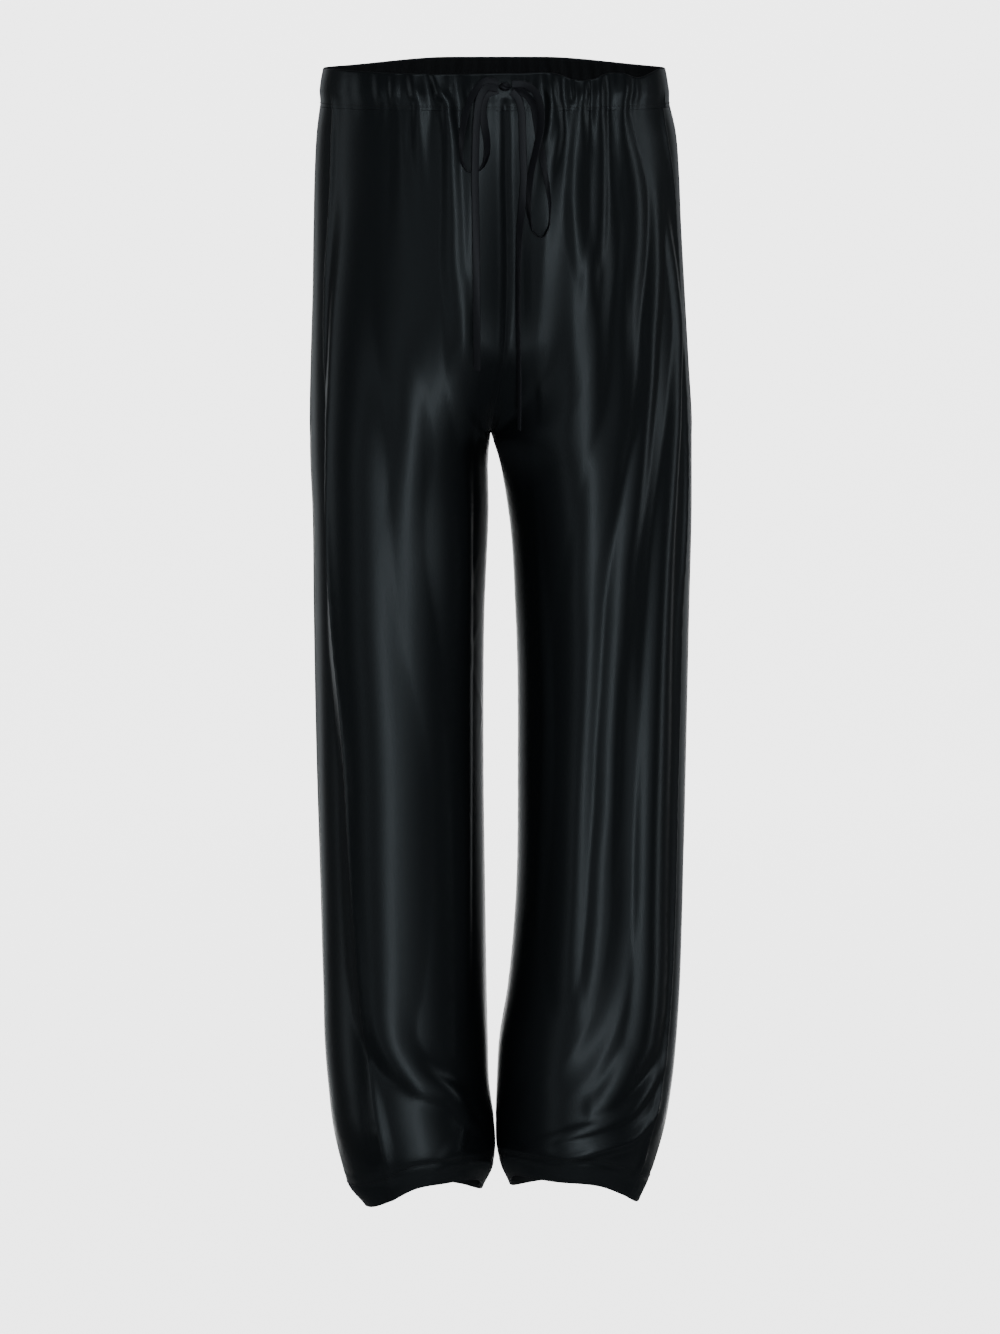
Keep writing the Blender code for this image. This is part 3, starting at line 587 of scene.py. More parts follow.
# %% Folds of the back panels
FOLDS["back_left"] = (
    ((0.84, -15, 0.9, 8), (0.83, -70, 1.4, 10), (0.8, -150, 1.4, 13), (0.76, -250, 0.7, 17),
     (0.72, -320, 0, 20)),
    ((0.7, -15, 1.1, 8), (0.69, -60, 1.4, 10), (0.66, -120, 0.8, 13), (0.64, -180, 0, 15)),
    ((0.55, -15, 0.8, 8), (0.55, -50, 1, 10), (0.54, -110, 0, 12)),
    ((0.4, -120, 0, 16), (0.42, -220, 1.5, 22), (0.46, -340, 2.4, 26), (0.5, -480, 2.8, 24),
     (0.53, -600, 2.7, 21), (0.56, -740, 2.4, 18), (0.6, -850, 2.3, 17), (0.68, -920, 2, 17),
     (0.78, -965, 1.2, 16), (0.88, -990, 0, 14)),
    ((0.94, -300, 0, 16), (0.88, -360, 1.8, 22), (0.82, -440, 2.5, 24), (0.76, -560, 2.4, 21),
     (0.72, -680, 1.6, 19), (0.7, -780, 0, 18)),
    ((0.2, -80, 0, 12), (0.2, -180, 1, 14), (0.22, -320, 1.4, 16), (0.22, -500, 1.5, 17),
     (0.24, -680, 1.4, 16), (0.27, -820, 1, 15), (0.32, -920, 0, 14)),
    ((0.3, -840, 0, 13), (0.38, -920, 1.9, 15), (0.5, -980, 2.2, 15), (0.62, -1020, 1.4, 14),
     (0.72, -1050, 0.4, 12)),
    ((0.92, -900, 0, 10), (0.8, -1000, 1.5, 13), (0.7, -1035, 0.9, 13), (0.62, -1060, 0.3, 12)),
    ((0.62, -320, 0, 12), (0.66, -460, -1.5, 15), (0.66, -620, -1.6, 15), (0.66, -780, -1.4, 14),
     (0.72, -880, 0, 12)),
    ((0.34, -300, 0, 10), (0.35, -450, -1.4, 13), (0.38, -620, -1.4, 13), (0.41, -780, -1.2, 12),
     (0.46, -880, 0, 11)),
)
FOLDS["back_right"] = (
    ((0.86, -15, 1, 8), (0.84, -80, 1.4, 10), (0.79, -170, 1.2, 14), (0.74, -260, 0.5, 17),
     (0.7, -330, 0, 20)),
    ((0.72, -15, 1, 8), (0.71, -60, 1.2, 10), (0.69, -110, 0.7, 12), (0.66, -160, 0, 14)),
    ((0.52, -15, 1, 8), (0.51, -60, 1.1, 10), (0.48, -130, 0.5, 13), (0.45, -200, 0, 15)),
    ((0.34, -140, 0, 16), (0.38, -240, 1.7, 22), (0.42, -370, 2.5, 25), (0.45, -500, 2.9, 23),
     (0.48, -640, 2.7, 20), (0.52, -770, 2.4, 18), (0.57, -870, 2.2, 17), (0.66, -935, 1.8, 17),
     (0.77, -975, 1, 15), (0.86, -1000, 0, 14)),
    ((0.95, -310, 0, 16), (0.88, -380, 2, 21), (0.8, -480, 2.5, 22), (0.74, -600, 2.2, 20),
     (0.7, -720, 1.4, 18), (0.68, -810, 0, 17)),
    ((0.13, -100, 0, 10), (0.13, -220, 1.1, 12), (0.15, -380, 1.4, 14), (0.17, -560, 1.5, 15),
     (0.2, -720, 1.4, 15), (0.24, -850, 0, 14)),
    ((0.24, -850, 0, 13), (0.33, -930, 1.8, 15), (0.46, -990, 2.1, 15), (0.6, -1030, 1.2, 14),
     (0.7, -1056, 0.3, 12)),
    ((0.94, -930, 0, 10), (0.84, -1000, 1.4, 12), (0.74, -1040, 0.7, 12), (0.66, -1060, 0.2, 12)),
    ((0.6, -340, 0, 12), (0.62, -480, -1.5, 14), (0.61, -640, -1.6, 14), (0.62, -790, -1.3, 13),
     (0.68, -890, 0, 12)),
    ((0.27, -320, 0, 10), (0.29, -470, -1.4, 12), (0.31, -640, -1.4, 12), (0.35, -800, -1.1, 12),
     (0.4, -890, 0, 11)),
)
print("backs:", len(FOLDS["back_left"]) + len(FOLDS["back_right"]), "folds")

# %% [markdown]
# ## Gathers
# Pulled tight, the casing gathers into uneven puckers. Each gather leans a little
# between the top of the casing and its lower edge, and runs on into the panel below.
# The taller a gather is, the longer it takes to die away.

# %% Gathers
GATHER_COLUMNS = ("top", "low", "width", "proud")
GATHERS = {
    "front": (
        (-140, -141, 12, 0.6), (-124, -122, 11, 0.8), (-107, -104, 9, 1.6), (-93, -92, 8, 2.2),
        (-76, -70, 9, 3.4), (-63, -58, 7, -2), (-56, -43, 9, 3.8), (-36, -32, 8, -1.8),
        (-22, -22, 9, 1.6), (-8, -6, 8, 1), (20, 22, 8, 0.9), (33, 32, 8, 1.2), (49, 52, 8, 3.6),
        (61, 62, 7, -2), (68, 70, 5, 1.6), (80, 78, 8, 3.2), (88, 87, 5, -1.2), (94, 95, 8, 3),
        (104, 105, 6, -1.6), (119, 115, 9, 3.8), (129, 127, 6, 1.4), (140, 138, 9, 0.6),
        (147, 147, 7, 0.5),
    ),
    "back": (
        (-132, -131, 7, 0.9), (-117, -119, 6, 1.4), (-104, -102, 6, 2.2), (-92, -94, 5, 1.4),
        (-82, -80, 6, 2.6), (-70, -72, 5, 1.6), (-60, -58, 6, 2.2), (-48, -49, 5, 1.8),
        (-37, -36, 6, 2.8), (-26, -28, 4, 1.4), (-16, -15, 6, 2.2), (-3, -5, 5, 1.4), (6, 8, 6, 2.6),
        (18, 17, 5, 1.6), (27, 29, 6, 2.4), (39, 38, 5, 1.6), (49, 50, 6, 2.8), (60, 58, 5, 1.4),
        (68, 70, 6, 2.2), (80, 79, 5, 1.6), (91, 92, 6, 2.6), (102, 100, 5, 1.4), (113, 115, 6, 2),
        (125, 124, 5, 1.4), (136, 137, 7, 0.9),
    ),
}
RIM_GATHER = 0.55  # share of a gather's height that is left at the casing's edges
GATHER_RUN = (5.0, 7.0)  # millimetres down the panel, and more for each millimetre it stands out
GATHER_SPREAD = 0.10  # how much wider it grows for each millimetre down


def wave(gap):
    """One round wave, 1 at the middle and 0 from a share of 1 on."""
    return 0.5 + 0.5 * np.cos(math.pi * np.clip(gap, -1.0, 1.0))


def gather_rise(length, x, level):
    """The gathers at a share of the casing's height, 0 at its lower edge."""
    rise = np.zeros(np.shape(x))
    for top, low, width, proud in GATHERS[length]:
        rise += proud * wave((x - low - (top - low) * level) / width)
    return rise


def gathers_below(length, x, depth):
    """What is left of the gathers on the panel, at a depth below the casing."""
    rise = np.zeros(np.shape(x))
    for top, low, width, proud in GATHERS[length]:
        run = GATHER_RUN[0] + GATHER_RUN[1] * abs(proud)
        across = wave((x - low) / (width + GATHER_SPREAD * depth))
        rise += RIM_GATHER * proud * np.exp(-depth / run) * across
    return rise


print("gathers:", {length: len(rows) for length, rows in GATHERS.items()})

# %% [markdown]
# ## Raising the folds
# Distances are measured on the cloth itself: across from the side seam and down.
# A point is moved out by the fold nearest to it, with a soft round crest. Between the
# folds the cloth has a faint unevenness, and beside the seams it has small puckers,
# because thread never pulls evenly.

# %% Relief
FOLD_STEP = 5.0
FOLD_SOFTNESS = 6.0
FOLD_EDGE = 1.7
SEAM_CALM = 14.0
# the hollow between the bow and the crotch: height, depth, half width left and right
HOLLOW = ((0, 0.0, 20, 20), (-30, 1.6, 24, 34), (-80, 6.0, 30, 50), (-140, 9.4, 34, 66), (-200, 11.4, 36, 76),
       (-260, 10.6, 36, 78), (-310, 6.0, 30, 68), (-335, 0.0, 24, 50))
HOLLOW_CREASE = 0.06
UNEVEN = 0.35
UNEVEN_ACROSS, UNEVEN_DOWN = 0.022, 0.006
OTHER_LEG = 40.0  # shifts the noise, so that the two legs differ
PUCKER = 0.14
PUCKER_REACH = 6.0
PUCKER_LONG, PUCKER_SHORT = 4.3, 2.6


def fold_places(grid, side, along, panel, stations):
    """Across and down places along a fold, and its other columns at the same places."""
    table = np.array(stations, float)
    if table.shape[1] < len(FOLD_COLUMNS):
        table = np.column_stack([table, table[:, -1]])
    run = lengths_along(table[:, 1:2])
    at = np.linspace(0.0, run[-1], max(4, round(run[-1] / FOLD_STEP)))
    place, height, *rest = (read_smoothly(run, table[:, k], at) for k in range(len(FOLD_COLUMNS)))
    heights = grid[:, 0, 2]
    rows = np.clip(np.searchsorted(-heights, -height), 0, len(heights) - 1)
    across = []
    for r, p in zip(rows, place):
        from_seam = along[r] - along[r, SEAM]
        if panel.startswith("front"):
            outwards = SIDES[side] * grid[r, : SEAM + 1, 0]
            across.append(np.interp(SIDES[side] * p, outwards, from_seam[: SEAM + 1]))
        else:
            across.append(p * from_seam[-1])
    return np.stack([np.array(across), height], axis=1), *rest


def fold_shape(share):
    """A round crest with soft edges, 1 at the middle and 0 at the half width."""
    return (1.0 - np.clip(share, -1.0, 1.0) ** 2) ** FOLD_EDGE


def one_fold(places, proud, outer, inner, across, down):
    """How far one fold moves the cloth out, for every point of a block of the grid."""
    forward = np.gradient(places, axis=0)
    forward /= np.linalg.norm(forward, axis=1, keepdims=True)
    from_x = across[..., None] - places[:, 0]
    from_z = down[..., None] - places[:, 1]
    gap = from_x**2 + from_z**2
    aside = from_x * forward[:, 1] - from_z * forward[:, 0]
    reach = np.where(aside > 0, inner, outer)
    weight = np.exp(-(gap - gap.min(axis=-1, keepdims=True)) / (2 * FOLD_SOFTNESS**2))
    weight /= weight.sum(axis=-1, keepdims=True)
    share = (weight * aside / reach).sum(axis=-1)
    return (weight * proud).sum(axis=-1) * fold_shape(share)


def fold_relief(grid, side):
    along = along_rows(grid)
    across = along - along[:, SEAM : SEAM + 1]
    down = grid[:, :, 2]
    relief = np.zeros(down.shape)
    for panel in ("front_" + side, "back_" + side):
        for stations in FOLDS[panel]:
            places, proud, outer, inner = fold_places(grid, side, along, panel, stations)
            margin = max(outer.max(), inner.max())
            low, high = places.min(axis=0) - margin, places.max(axis=0) + margin
            rows = (down[:, 0] > low[1]) & (down[:, 0] < high[1])
            columns = ((across > low[0]) & (across < high[0])).any(axis=0)
            block = np.ix_(rows, columns)
            relief[block] += one_fold(places, proud, outer, inner, across[block], down[block])
    ends = np.minimum(along, along[:, -1:] - along)
    return relief * smooth_step(ends / SEAM_CALM)


def middle_hollow(grid, side):
    """The cloth falls back between the bow and the crotch, and wider so on the right."""
    along = along_rows(grid)
    heights = grid[:, 0, 2]
    table = np.array(HOLLOW, float)
    columns = (1, 2 if side == "left" else 3)
    depth, reach = (read_smoothly(-table[:, 0], table[:, k], -heights)[:, None] for k in columns)
    depth = np.where(heights[:, None] > HOLLOW[-1][0], depth, 0.0)
    share = np.sqrt((along / reach) ** 2 + HOLLOW_CREASE**2) - HOLLOW_CREASE
    return -depth * (1.0 - np.clip(share, 0.0, 1.0)) ** 1.4


def fine_relief(grid, side):
    """The faint unevenness of the cloth and the puckers along its seams."""
    along = along_rows(grid)
    across = along - along[:, SEAM : SEAM + 1]
    relief = np.zeros(across.shape)
    offset = OTHER_LEG * SIDES[side]
    down = grid[:, :, 2]
    for r, row in enumerate(grid):
        for c, point in enumerate(row):
            place = Vector((across[r, c] * UNEVEN_ACROSS + offset, point[2] * UNEVEN_DOWN, 0.0))
            relief[r, c] = UNEVEN * noise.noise(place)
    phase = np.array([[noise.noise(Vector((offset, z * 0.03, 3.0))) * 5.0] for z in down[:, 0]])
    waves = np.sin(down / PUCKER_SHORT + phase) + 0.6 * np.sin(down / PUCKER_LONG - phase)
    for gap in (along, np.abs(across), along[:, -1:] - along):
        relief += PUCKER * waves * np.exp(-gap / PUCKER_REACH)
    ends = np.minimum(along, along[:, -1:] - along)
    return relief * smooth_step(ends / 4.0)


relief = {}
for side, grid in half_grids.items():
    made = fold_relief(grid, side) + middle_hollow(grid, side) + fine_relief(grid, side)
    is_front = np.arange(grid.shape[1])[None, :] < FRONT_COLUMNS
    depth = PANEL_TOP - grid[:, :, 2]
    gathered = [gathers_below(length, grid[:, :, 0], depth) for length in ("front", "back")]
    relief[side] = made + np.where(is_front, *gathered)
    print(side, "folds stand from", round(relief[side].min(), 1), "to", round(relief[side].max(), 1), "mm")

# %% [markdown]
# ## Hem
# The hem isn't level: it rises to a low arch at the front of each leg and is lowest
# at the outer side and the back. The lowest rows slide to that line. The share of the
# way round starts at the inseam and goes by the front.

# %% Hem line
HEM_REACH = 110.0
HEM_DEPTH = 27.0
HEM_LINE = {
    "left": ((0.00, -1067), (0.10, -1047), (0.20, -1039), (0.26, -1043), (0.31, -1057),
             (0.36, -1068), (0.44, -1078), (0.52, -1084), (0.75, -1088), (0.92, -1080), (1.00, -1067)),
    "right": ((0.00, -1063), (0.10, -1042), (0.22, -1037), (0.29, -1041), (0.35, -1055),
              (0.41, -1069), (0.52, -1078), (0.75, -1086), (0.92, -1077), (1.00, -1063)),
}


def follow_hem(grid, side):
    shares = along_rows(grid)
    shares = shares / shares[:, -1:]
    table = np.array(HEM_LINE[side], float)
    line = read_smoothly(table[:, 0], table[:, 1], shares)
    weight = smooth_step((HEM + HEM_REACH - grid[:, :, 2]) / HEM_REACH)
    grid[:, :, 2] += (line - HEM) * weight

# %% [markdown]
# ## Walls
# A sheet of cloth is two grids of points, its face and its back, closed along the
# four rims. The face and the back have their own finishes, and the UV map gives the
# place on the flat cloth in metres.

# %% Cloth walls
def cloth_wall(name, face, back, finishes=(satin, satin_back_with_painted_light)):
    rows, columns = face.shape[:2]
    count = rows * columns
    points = np.concatenate([face.reshape(-1, 3), back.reshape(-1, 3)]) * MM
    index = np.arange(count).reshape(rows, columns)
    a, b, c, d = index[:-1, :-1], index[:-1, 1:], index[1:, 1:], index[1:, :-1]
    outer = np.stack([a, b, c, d], axis=-1).reshape(-1, 4)
    inner = np.stack([a, d, c, b], axis=-1).reshape(-1, 4) + count
    rims = []
    edges = (index[0], index[:, -1], index[-1][::-1], index[:, 0][::-1])
    for edge in edges:
        rims.append(np.stack([edge[1:], edge[:-1], edge[:-1] + count, edge[1:] + count], axis=-1))
    faces = np.concatenate([outer, inner, *rims])
    r, c = rows // 2, columns // 2
    first = face[r, c]
    if np.cross(face[r, c + 1] - first, face[r + 1, c] - first) @ (first - back[r, c]) < 0:
        faces = faces[:, ::-1]
    mesh = add_mesh(name, points.tolist(), faces.tolist())
    across = along_rows(face).reshape(-1) * MM
    down = -face[:, :, 2].reshape(-1) * MM
    flat = np.stack([np.tile(across, 2), np.tile(down, 2)], axis=1)
    corner = np.empty(len(mesh.loops), int)
    mesh.loops.foreach_get("vertex_index", corner)
    layer = mesh.uv_layers.new(name="cloth")
    layer.data.foreach_set("uv", flat[corner].astype(np.float32).ravel())
    for finish in finishes:
        mesh.materials.append(finish)
    slots = np.zeros(len(faces), int)
    slots[len(outer) : len(outer) + len(inner)] = 1
    mesh.polygons.foreach_set("material_index", slots)
    mesh.set_sharp_from_angle(angle=math.radians(60))
    return add_object(name, mesh)


def turn_in(face, back, normals, wall):
    """Adds a column at both long edges that turns in at the seam, as sewn cloth does."""
    faces, backs = [face], [back]
    for end, inside in ((0, 1), (-1, -2)):
        inwards = face[:, inside] - face[:, end]
        inwards /= np.linalg.norm(inwards, axis=1, keepdims=True)
        edge = face[:, end] + inwards * SEAM_SPACE / 2
        face[:, end] = edge
        back[:, end] = edge - normals[:, end] * wall[:, end] + inwards * wall[:, end]
        turned = edge - normals[:, end] * SEAM_TURN
        pair = (turned[:, None], (turned + inwards * wall[:, end])[:, None])
        for grids, extra in zip((faces, backs), pair):
            grids.insert(0, extra) if end == 0 else grids.append(extra)
    return np.concatenate(faces, axis=1), np.concatenate(backs, axis=1)

# %% [markdown]
# ## Leg panels
# The grid is raised, its hem set, and then it is cut at the side seam. The front panel
# laps over the back one, which shows as a crisp edge, so its last millimetres stand a
# little higher. Every seam lies in a narrow groove with a low shoulder.

# %% Leg panels
CLOTH = 0.6
HEM_CLOTH = 1.3
SEAM_SPACE = -0.04
SEAM_TURN = 2.6
LAP_RISE, LAP_SINK, LAP_WIDTH = 1.3, -0.2, 5.0
SEAM_SINK, SEAM_WIDTH = 1.0, 2.5
SEAM_SHOULDER, SHOULDER_PLACE, SHOULDER_WIDTH = 0.35, 5.0, 2.0
HEM_DIMPLE, DIMPLE_WIDTH = 0.45, 5.0

panel_tops = {}
raised = {}
for side, grid in half_grids.items():
    normals = outward(grid, side)
    along = along_rows(grid)
    from_side = along - along[:, SEAM : SEAM + 1]
    move = relief[side].copy()
    is_front = np.arange(grid.shape[1])[None, :] <= SEAM
    move += np.where(is_front, LAP_RISE, LAP_SINK) * np.exp(-(np.abs(from_side) / LAP_WIDTH) ** 2)
    ends = np.minimum(along, along[:, -1:] - along)
    move -= SEAM_SINK * np.exp(-(ends / SEAM_WIDTH) ** 2)
    move += SEAM_SHOULDER * np.exp(-((ends - SHOULDER_PLACE) / SHOULDER_WIDTH) ** 2)
    panel_tops[side] = (grid[0, :, 0], move[0])
    face = grid + normals * move[:, :, None]
    at_stitches = smooth_step(1.0 - np.abs(grid[:, :, 2] - (HEM + HEM_DEPTH)) / DIMPLE_WIDTH)
    face -= normals * (HEM_DIMPLE * at_stitches)[:, :, None]
    follow_hem(face, side)
    normals = outward(face, side)
    wall = np.where(grid[:, :, 2:] < HEM + HEM_DEPTH, HEM_CLOTH, CLOTH)
    back = face - normals * wall
    raised[side] = (face, normals)
    for part, span in (("front_", slice(0, SEAM + 1)), ("back_", slice(SEAM, None))):
        grids = turn_in(face[:, span].copy(), back[:, span].copy(), normals[:, span], wall[:, span])
        name = part + side
        panel = cloth_wall("satin_" + name, *grids)
        stand_in(panel, name)
        carrier = "casing_" + part[:-1]
        print(name, len(panel.data.polygons), "faces")

# %% [markdown]
# ## The casing
# The casing is a folded band with the drawstring inside. Its lower edge lies flush on
# the panels, so their folds run on into it, and its top is a round fold.

# %% The casing's two lengths
FRONT_EDGE = ((-150, 17), (-106, 15), (-48, 14), (20, 15), (58, 14), (72, 9), (88, 9),
              (102, 14), (118, 14), (132, 10), (148, 15), (153, 17))
BACK_EDGE = 24.0
BACK_EDGE_RISE = 1.4
UPPER_SECTION = 30.0
CASING_PROUD = 1.0
CASING_SWELL = 1.4
CASING_WALL = 2.6
CASING_COLUMNS = 190
CASING_LEVELS = 15


def top_edge(length, x):
    if length == "front":
        table = np.array(FRONT_EDGE, float)
        return read_smoothly(table[:, 0], table[:, 1], x)
    share = smooth_step(BACK_EDGE_RISE * (1.0 - np.abs(x) / np.abs(x).max()))
    return FRONT_EDGE[0][1] + (BACK_EDGE - FRONT_EDGE[0][1]) * share


def top_row(length, x):
    """How far the panels stand out along their top edge, read at the casing's x."""
    places, rises = [], []
    for side, (line, rise) in panel_tops.items():
        part = slice(0, FRONT_COLUMNS) if length == "front" else slice(SEAM, None)
        places.append(line[part])
        rises.append(rise[part])
    places, rises = np.concatenate(places), np.concatenate(rises)
    order = np.argsort(places)
    return np.interp(x, places[order], rises[order])


def casing_grids(length):
    """Face and back of one length of the casing, as grids from its lower edge up."""
    is_front = length == "front"
    lines = []
    for height in (CASING_BOTTOM, 0.0, UPPER_SECTION):
        halves = [panel_line(side, height, CASING_COLUMNS, is_front) for side in SIDES]
        lines.append(np.concatenate([halves[0][::-1], halves[1][1:]]))
    bottom, middle, top = lines
    x = middle[:, 0]
    edge = top_edge(length, x)
    levels = np.concatenate([np.linspace(0.0, 0.93, CASING_LEVELS), (0.955, 0.975, 0.99, 0.998, 1.0)])
    rows = []
    for level in levels:
        height = CASING_BOTTOM + (edge - CASING_BOTTOM) * level
        upper = np.clip(height / UPPER_SECTION, 0.0, 1.0)[:, None]
        lower = np.clip(height / CASING_BOTTOM, 0.0, 1.0)[:, None]
        line = middle * (1 - upper - lower) + top * upper + bottom * lower
        rows.append(np.column_stack([line, height]))
    band = np.array(rows)
    normals = np.cross(np.gradient(band, axis=1), np.gradient(band, axis=0))
    normals[:, :, 2] = 0.0
    normals *= np.sign(normals[:, :, 1:2].mean()) * (-1.0 if is_front else 1.0)
    normals /= np.linalg.norm(normals, axis=2, keepdims=True)
    below = top_row(length, x)
    tall = (edge - CASING_BOTTOM)[None, :]
    out = np.zeros(band.shape[:2])
    for r, level in enumerate(levels):
        swell = math.sin(math.pi * level)
        own = CASING_PROUD + CASING_SWELL * swell
        own = own + gather_rise(length, x, level) * (RIM_GATHER + (1.0 - RIM_GATHER) * swell)
        share = smooth_step(level / 0.45)
        out[r] = below * (1.0 - share) + own * share
    to_top = (1.0 - levels[:, None]) * tall
    half = CASING_WALL / 2
    rounding = half - np.sqrt(half**2 - np.clip(half - to_top, 0.0, half) ** 2)
    face = band + normals * (out - rounding)[:, :, None]
    back = band + normals * (out - CASING_WALL + rounding)[:, :, None]
    return face, back


casing_faces = {}
for length in ("front", "back"):
    face, back = casing_grids(length)
    casing_faces[length] = face
    casing = cloth_wall("satin_casing_" + length, face, back)
    stand_in(casing, "casing_" + length)
    print("casing", length, len(casing.data.polygons), "faces")

# %% [markdown]
# ## Stitching
# A straight row of stitches closes the casing just above its lower edge, and another
# holds the turned-up hem. Each stitch is a short thread that dips into the cloth at
# both ends. All the stitches of a row are one mesh.

# %% Stitches
STITCH_PITCH = 3.0
STITCH_LENGTH = 2.3
THREAD = 0.5
THREAD_SIDES = 6
STITCH_RINGS = (0.0, 0.2, 0.5, 0.8, 1.0)  # shares of a stitch's length
HEM_ROW = 24.0


def thread_finish():
    finish = Finish("black_thread")
    finish.shader.inputs["Base Color"].default_value = (0.014, 0.014, 0.015, 1.0)
    finish.shader.inputs["Roughness"].default_value = 0.6
    return finish.material


def read_line(at, along, line):
    return np.array([np.interp(at, along, line[:, k]) for k in range(3)])


def stitch_row(name, line, normals):
    """Stitches along a line of points in millimetres that lie on the cloth."""
    along = lengths_along(line)
    count = int(along[-1] / STITCH_PITCH)
    starts = (np.arange(count) + 0.5) * along[-1] / count
    points, faces = [], []
    for start in starts:
        ring_start = len(points)
        for share in STITCH_RINGS:
            at = start + (share - 0.5) * STITCH_LENGTH
            place, out = read_line(at, along, line), read_line(at, along, normals)
            ahead = read_line(at + 0.5, along, line) - place
            aside = np.cross(ahead / (np.linalg.norm(ahead) + 1e-9), out)
            bulge = math.sin(math.pi * share)
            lift = THREAD * (0.45 * bulge - 0.15)
            radius = THREAD / 2 * (0.5 + 0.5 * bulge)
            for k in range(THREAD_SIDES):
                turn = 2 * math.pi * k / THREAD_SIDES
                edge = out * (lift + radius * math.sin(turn)) + aside * radius * math.cos(turn)
                points.append(place + edge)
        last = ring_start + THREAD_SIDES * (len(STITCH_RINGS) - 1)
        for ring in range(ring_start, last, THREAD_SIDES):
            for k in range(THREAD_SIDES):
                a, b = ring + k, ring + (k + 1) % THREAD_SIDES
                faces.append((a, b, b + THREAD_SIDES, a + THREAD_SIDES))
        faces.append(tuple(range(ring_start + THREAD_SIDES - 1, ring_start - 1, -1)))
        faces.append(tuple(range(last, last + THREAD_SIDES)))
    mesh = add_mesh(name, (np.array(points) * MM).tolist(), faces)
    mesh.materials.append(thread)
    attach(add_object(name, mesh), "root")
    print(name, count, "stitches")


thread = thread_finish()
for length, face in casing_faces.items():
    line = face[1] * 0.6 + face[2] * 0.4
    out = np.cross(np.gradient(face, axis=1)[1], np.gradient(face, axis=0)[1])
    out *= np.sign(out[:, 1:2].mean()) * (-1.0 if length == "front" else 1.0)
    out /= np.linalg.norm(out, axis=1, keepdims=True)
    stitch_row("casing_stitches_" + length, line, out)
for side, (face, normals) in raised.items():
    above = face[:, :, 2] - face[-1:, :, 2]
    line, out = [], []
    for c in range(face.shape[1]):
        order = np.argsort(above[:, c])
        line.append([np.interp(HEM_ROW, above[order, c], face[order, c, k]) for k in range(3)])
        out.append([np.interp(HEM_ROW, above[order, c], normals[order, c, k]) for k in range(3)])
    stitch_row("hem_stitches_" + side, np.array(line), np.array(out))

# %% [markdown]
# ## The knot
# The knot is two turns of ribbon drawn tight round each other. A rounded block is
# grooved along slanting lines between the turns and drawn in at its waist, where the
# loops and tails leave it. It could be a knotted curve, but at 12 mm only the turns
# show.

# %% Knot
KNOT_SIZE = (12.5, 7.5, 10.5)
KNOT_PLACE = (8.5, -121.5, 3.0)
KNOT_TURN, KNOT_GROOVE = 4.2, 0.9  # millimetres from groove to groove, and their depth
KNOT_SLANT, KNOT_TWIST = 0.5, 0.25
KNOT_PINCH, KNOT_WIDEN = 0.22, 0.12  # shares of its height and width

for chosen in bpy.context.selected_objects:
    chosen.select_set(False)
bpy.ops.mesh.primitive_cube_add(size=1.0, location=[value * MM for value in KNOT_PLACE])
knot = bpy.context.object
knot.name = "ribbon_knot"
knot.scale = [value * MM for value in KNOT_SIZE]
bpy.ops.object.transform_apply(location=True, rotation=True, scale=True)
soften = knot.modifiers.new("soften", "SUBSURF")
soften.levels = soften.render_levels = 5
bpy.ops.object.modifier_apply(modifier=soften.name)
middle = Vector(KNOT_PLACE) * MM
for vertex in knot.data.vertices:
    away = (vertex.co - middle) / MM
    slant = away.x * KNOT_SLANT + away.z + KNOT_TWIST * away.x * away.z / KNOT_SIZE[2]
    groove = abs(math.cos(math.pi * slant / KNOT_TURN)) ** 6
    sides = smooth_step(abs(away.x) / KNOT_SIZE[0] * 3.0)
    vertex.co -= away.normalized() * KNOT_GROOVE * groove * MM
    vertex.co.z -= away.z * KNOT_PINCH * sides * MM
    vertex.co.x += away.x * KNOT_WIDEN * MM
knot.data.shade_smooth()
stand_in(knot, "bow_knot")
print("knot", len(knot.data.polygons), "faces")

# %% [markdown]
# ## Ribbon satin
# The ribbon has no woven UV map of its own, so its finish reads the object's place.
# It is a little glossier than the panels, because it is pressed.

# %% Ribbon finish
def ribbon_finish():
    finish = Finish("pressed_ribbon")
    shader = finish.shader.inputs
    place = finish.node("ShaderNodeTexCoord", {}, {}, output=3)
    streaks = finish.noise(place, 900.0, 3.0)
    darker, lighter = (0.009, 0.0095, 0.012, 1.0), (0.016, 0.016, 0.020, 1.0)
    finish.feed(shader["Base Color"], finish.blend_colours(streaks, darker, lighter))
    finish.feed(shader["Roughness"], 0.40 + streaks * 0.08)
    bump = finish.node("ShaderNodeBump", {}, {"Strength": 0.4, "Distance": 0.00003, "Height": streaks})
    finish.feed(shader["Normal"], bump)
    shader["Specular IOR Level"].default_value = 0.38
    shader["Specular Tint"].default_value = (0.90, 0.93, 1.0, 1.0)
    return finish.material


ribbon_satin = ribbon_finish()
for ribbon in ribbons.values():
    ribbon.data.materials.append(ribbon_satin)
knot.data.materials.clear()
knot.data.materials.append(ribbon_satin)

# %% [markdown]
# ## Studio
# Black satin is a dark mirror: it shows the room. The room here is dim, with a narrow
# roll of pale glowing paper under and behind the garment, and tall soft lights in a
# ring round the front. A wide pale room would turn every fold grey.

# %% Floor and backdrop
FLOOR = -1.5
PAPER_GLOW = 3.6
PAPER_FRONT, PAPER_BACK, PAPER_CURVE, PAPER_TOP = -0.6, 6.5, 2.0, 1.75
# metres behind, because the floor under the garment only takes the lights' own light
GLOW_STARTS, GLOW_FULL = 0.6, 0.9
PAPER_SPREAD = 0.12  # half width for each metre from the camera, just past its view

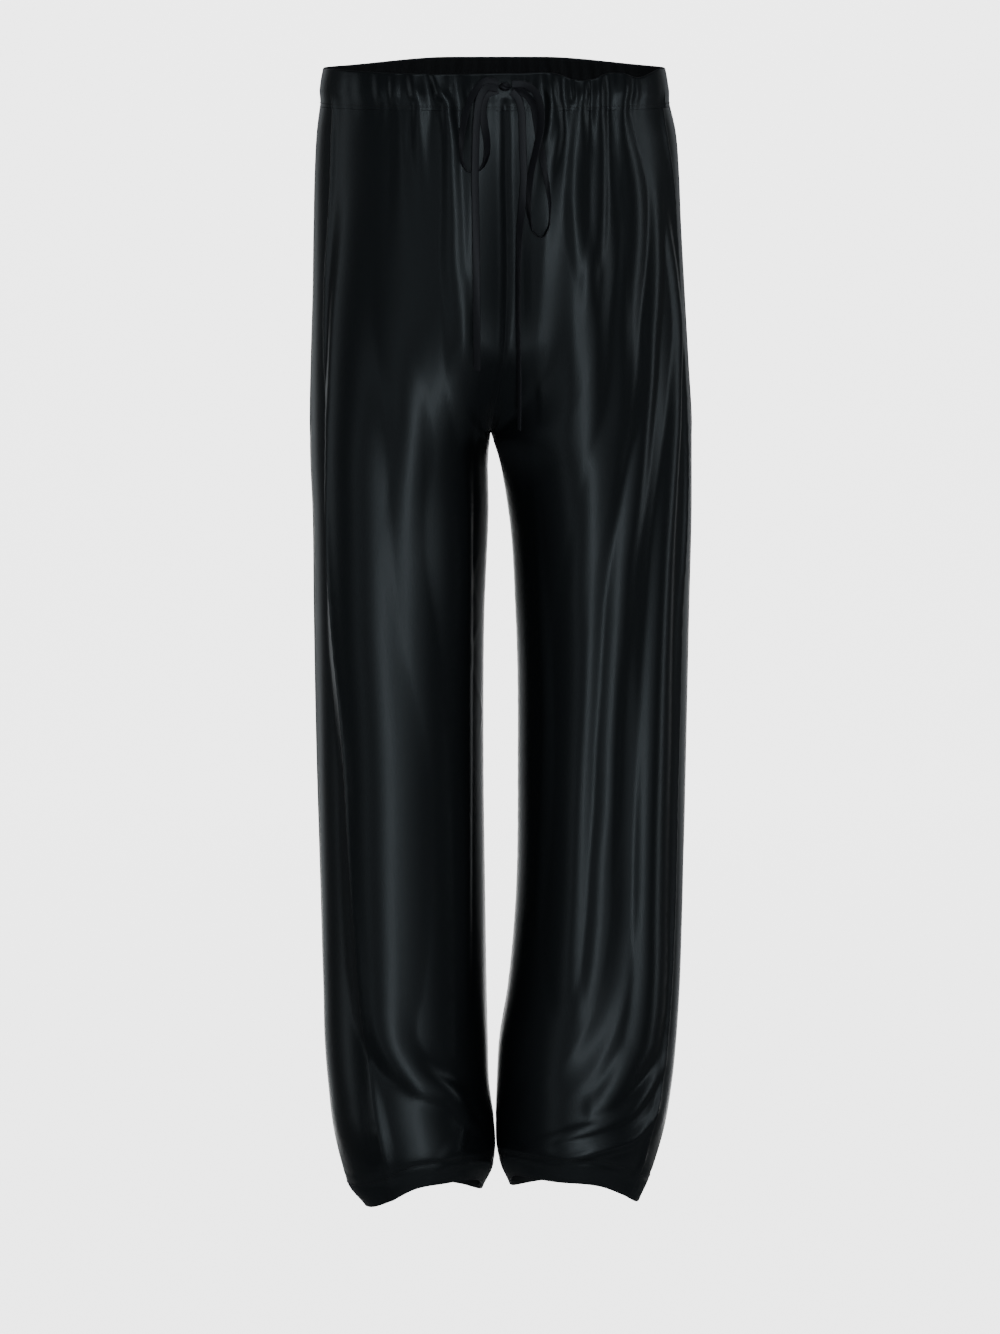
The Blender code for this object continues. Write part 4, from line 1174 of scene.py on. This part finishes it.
pale = Finish("pale_paper")
pale.shader.inputs["Base Color"].default_value = (0.80, 0.80, 0.80, 1.0)
pale.shader.inputs["Roughness"].default_value = 0.9
pale.shader.inputs["Specular IOR Level"].default_value = 0.1
place = pale.node("ShaderNodeTexCoord", {}, {}, output=3)
depth = pale.node("ShaderNodeSeparateXYZ", {}, {"Vector": place}, output=1)
share = (depth - GLOW_STARTS) / (GLOW_FULL - GLOW_STARTS)
glow = pale.blend_colours(share, (0.0, 0.0, 0.0, 1.0), (1.0, 1.0, 1.0, 1.0))
pale.feed(pale.shader.inputs["Emission Color"], glow)
pale.shader.inputs["Emission Strength"].default_value = PAPER_GLOW

outline = [(PAPER_FRONT, 0.0)]
for k in range(17):
    turn = math.pi / 2 * k / 16
    outline.append((PAPER_BACK - PAPER_CURVE * (1 - math.sin(turn)), PAPER_CURVE * (1 - math.cos(turn))))
outline.append((PAPER_BACK, PAPER_TOP))
points = []
for y, z in outline:
    half_width = PAPER_SPREAD * (y - CAMERA_PLACE.y)
    points += [(-half_width, y, FLOOR + z), (half_width, y, FLOOR + z)]
faces = [(2 * k, 2 * k + 1, 2 * k + 3, 2 * k + 2) for k in range(len(outline) - 1)]
paper = add_object("paper_sweep", add_mesh("paper_sweep", points, faces))
paper.data.materials.append(pale.material)
print("paper from", PAPER_FRONT, "to", PAPER_BACK, "m behind, floor at", FLOOR)

# %% Lights
# place in metres, width and height in metres, power in watts
LIGHTS = {
    "key": ((0.35, -5.2, -0.8), (0.5, 4.8), 46.0),
    "right_front": ((2.1, -4.6, -1.2), (0.8, 3.8), 4.0),
    "left_front": ((-2.6, -3.6, -0.9), (0.6, 3.6), 5.5),
    "left_rim": ((-3.8, 0.1, -0.4), (0.8, 3.0), 8.0),
    "right_rim": ((3.8, -0.3, -0.5), (0.7, 3.0), 13.0),
    "back_left": ((-2.0, 3.7, -0.5), (0.9, 3.4), 7.0),
    "back_right": ((2.0, 3.7, -0.5), (0.9, 3.4), 5.0),
    "top": ((0.2, -1.8, 2.6), (2.4, 1.6), 12.0),
}
LIGHT_AIM = Vector((0.0, 0.0, -0.55))

for name, (place, size, power) in LIGHTS.items():
    lamp = bpy.data.lights.new(name, "AREA")
    lamp.shape = "RECTANGLE"
    lamp.size, lamp.size_y = size
    lamp.energy = power
    lamp.color = (0.90, 0.96, 1.0)
    place_and_aim(add_object(name, lamp), place, LIGHT_AIM)

world = bpy.data.worlds.new("dim_room")
world.use_nodes = True
room = world.node_tree.nodes["Background"].inputs
room["Color"].default_value = (0.90, 0.95, 1.0, 1.0)
room["Strength"].default_value = 0.06
bpy.context.scene.world = world
print(len(LIGHTS), "lights")
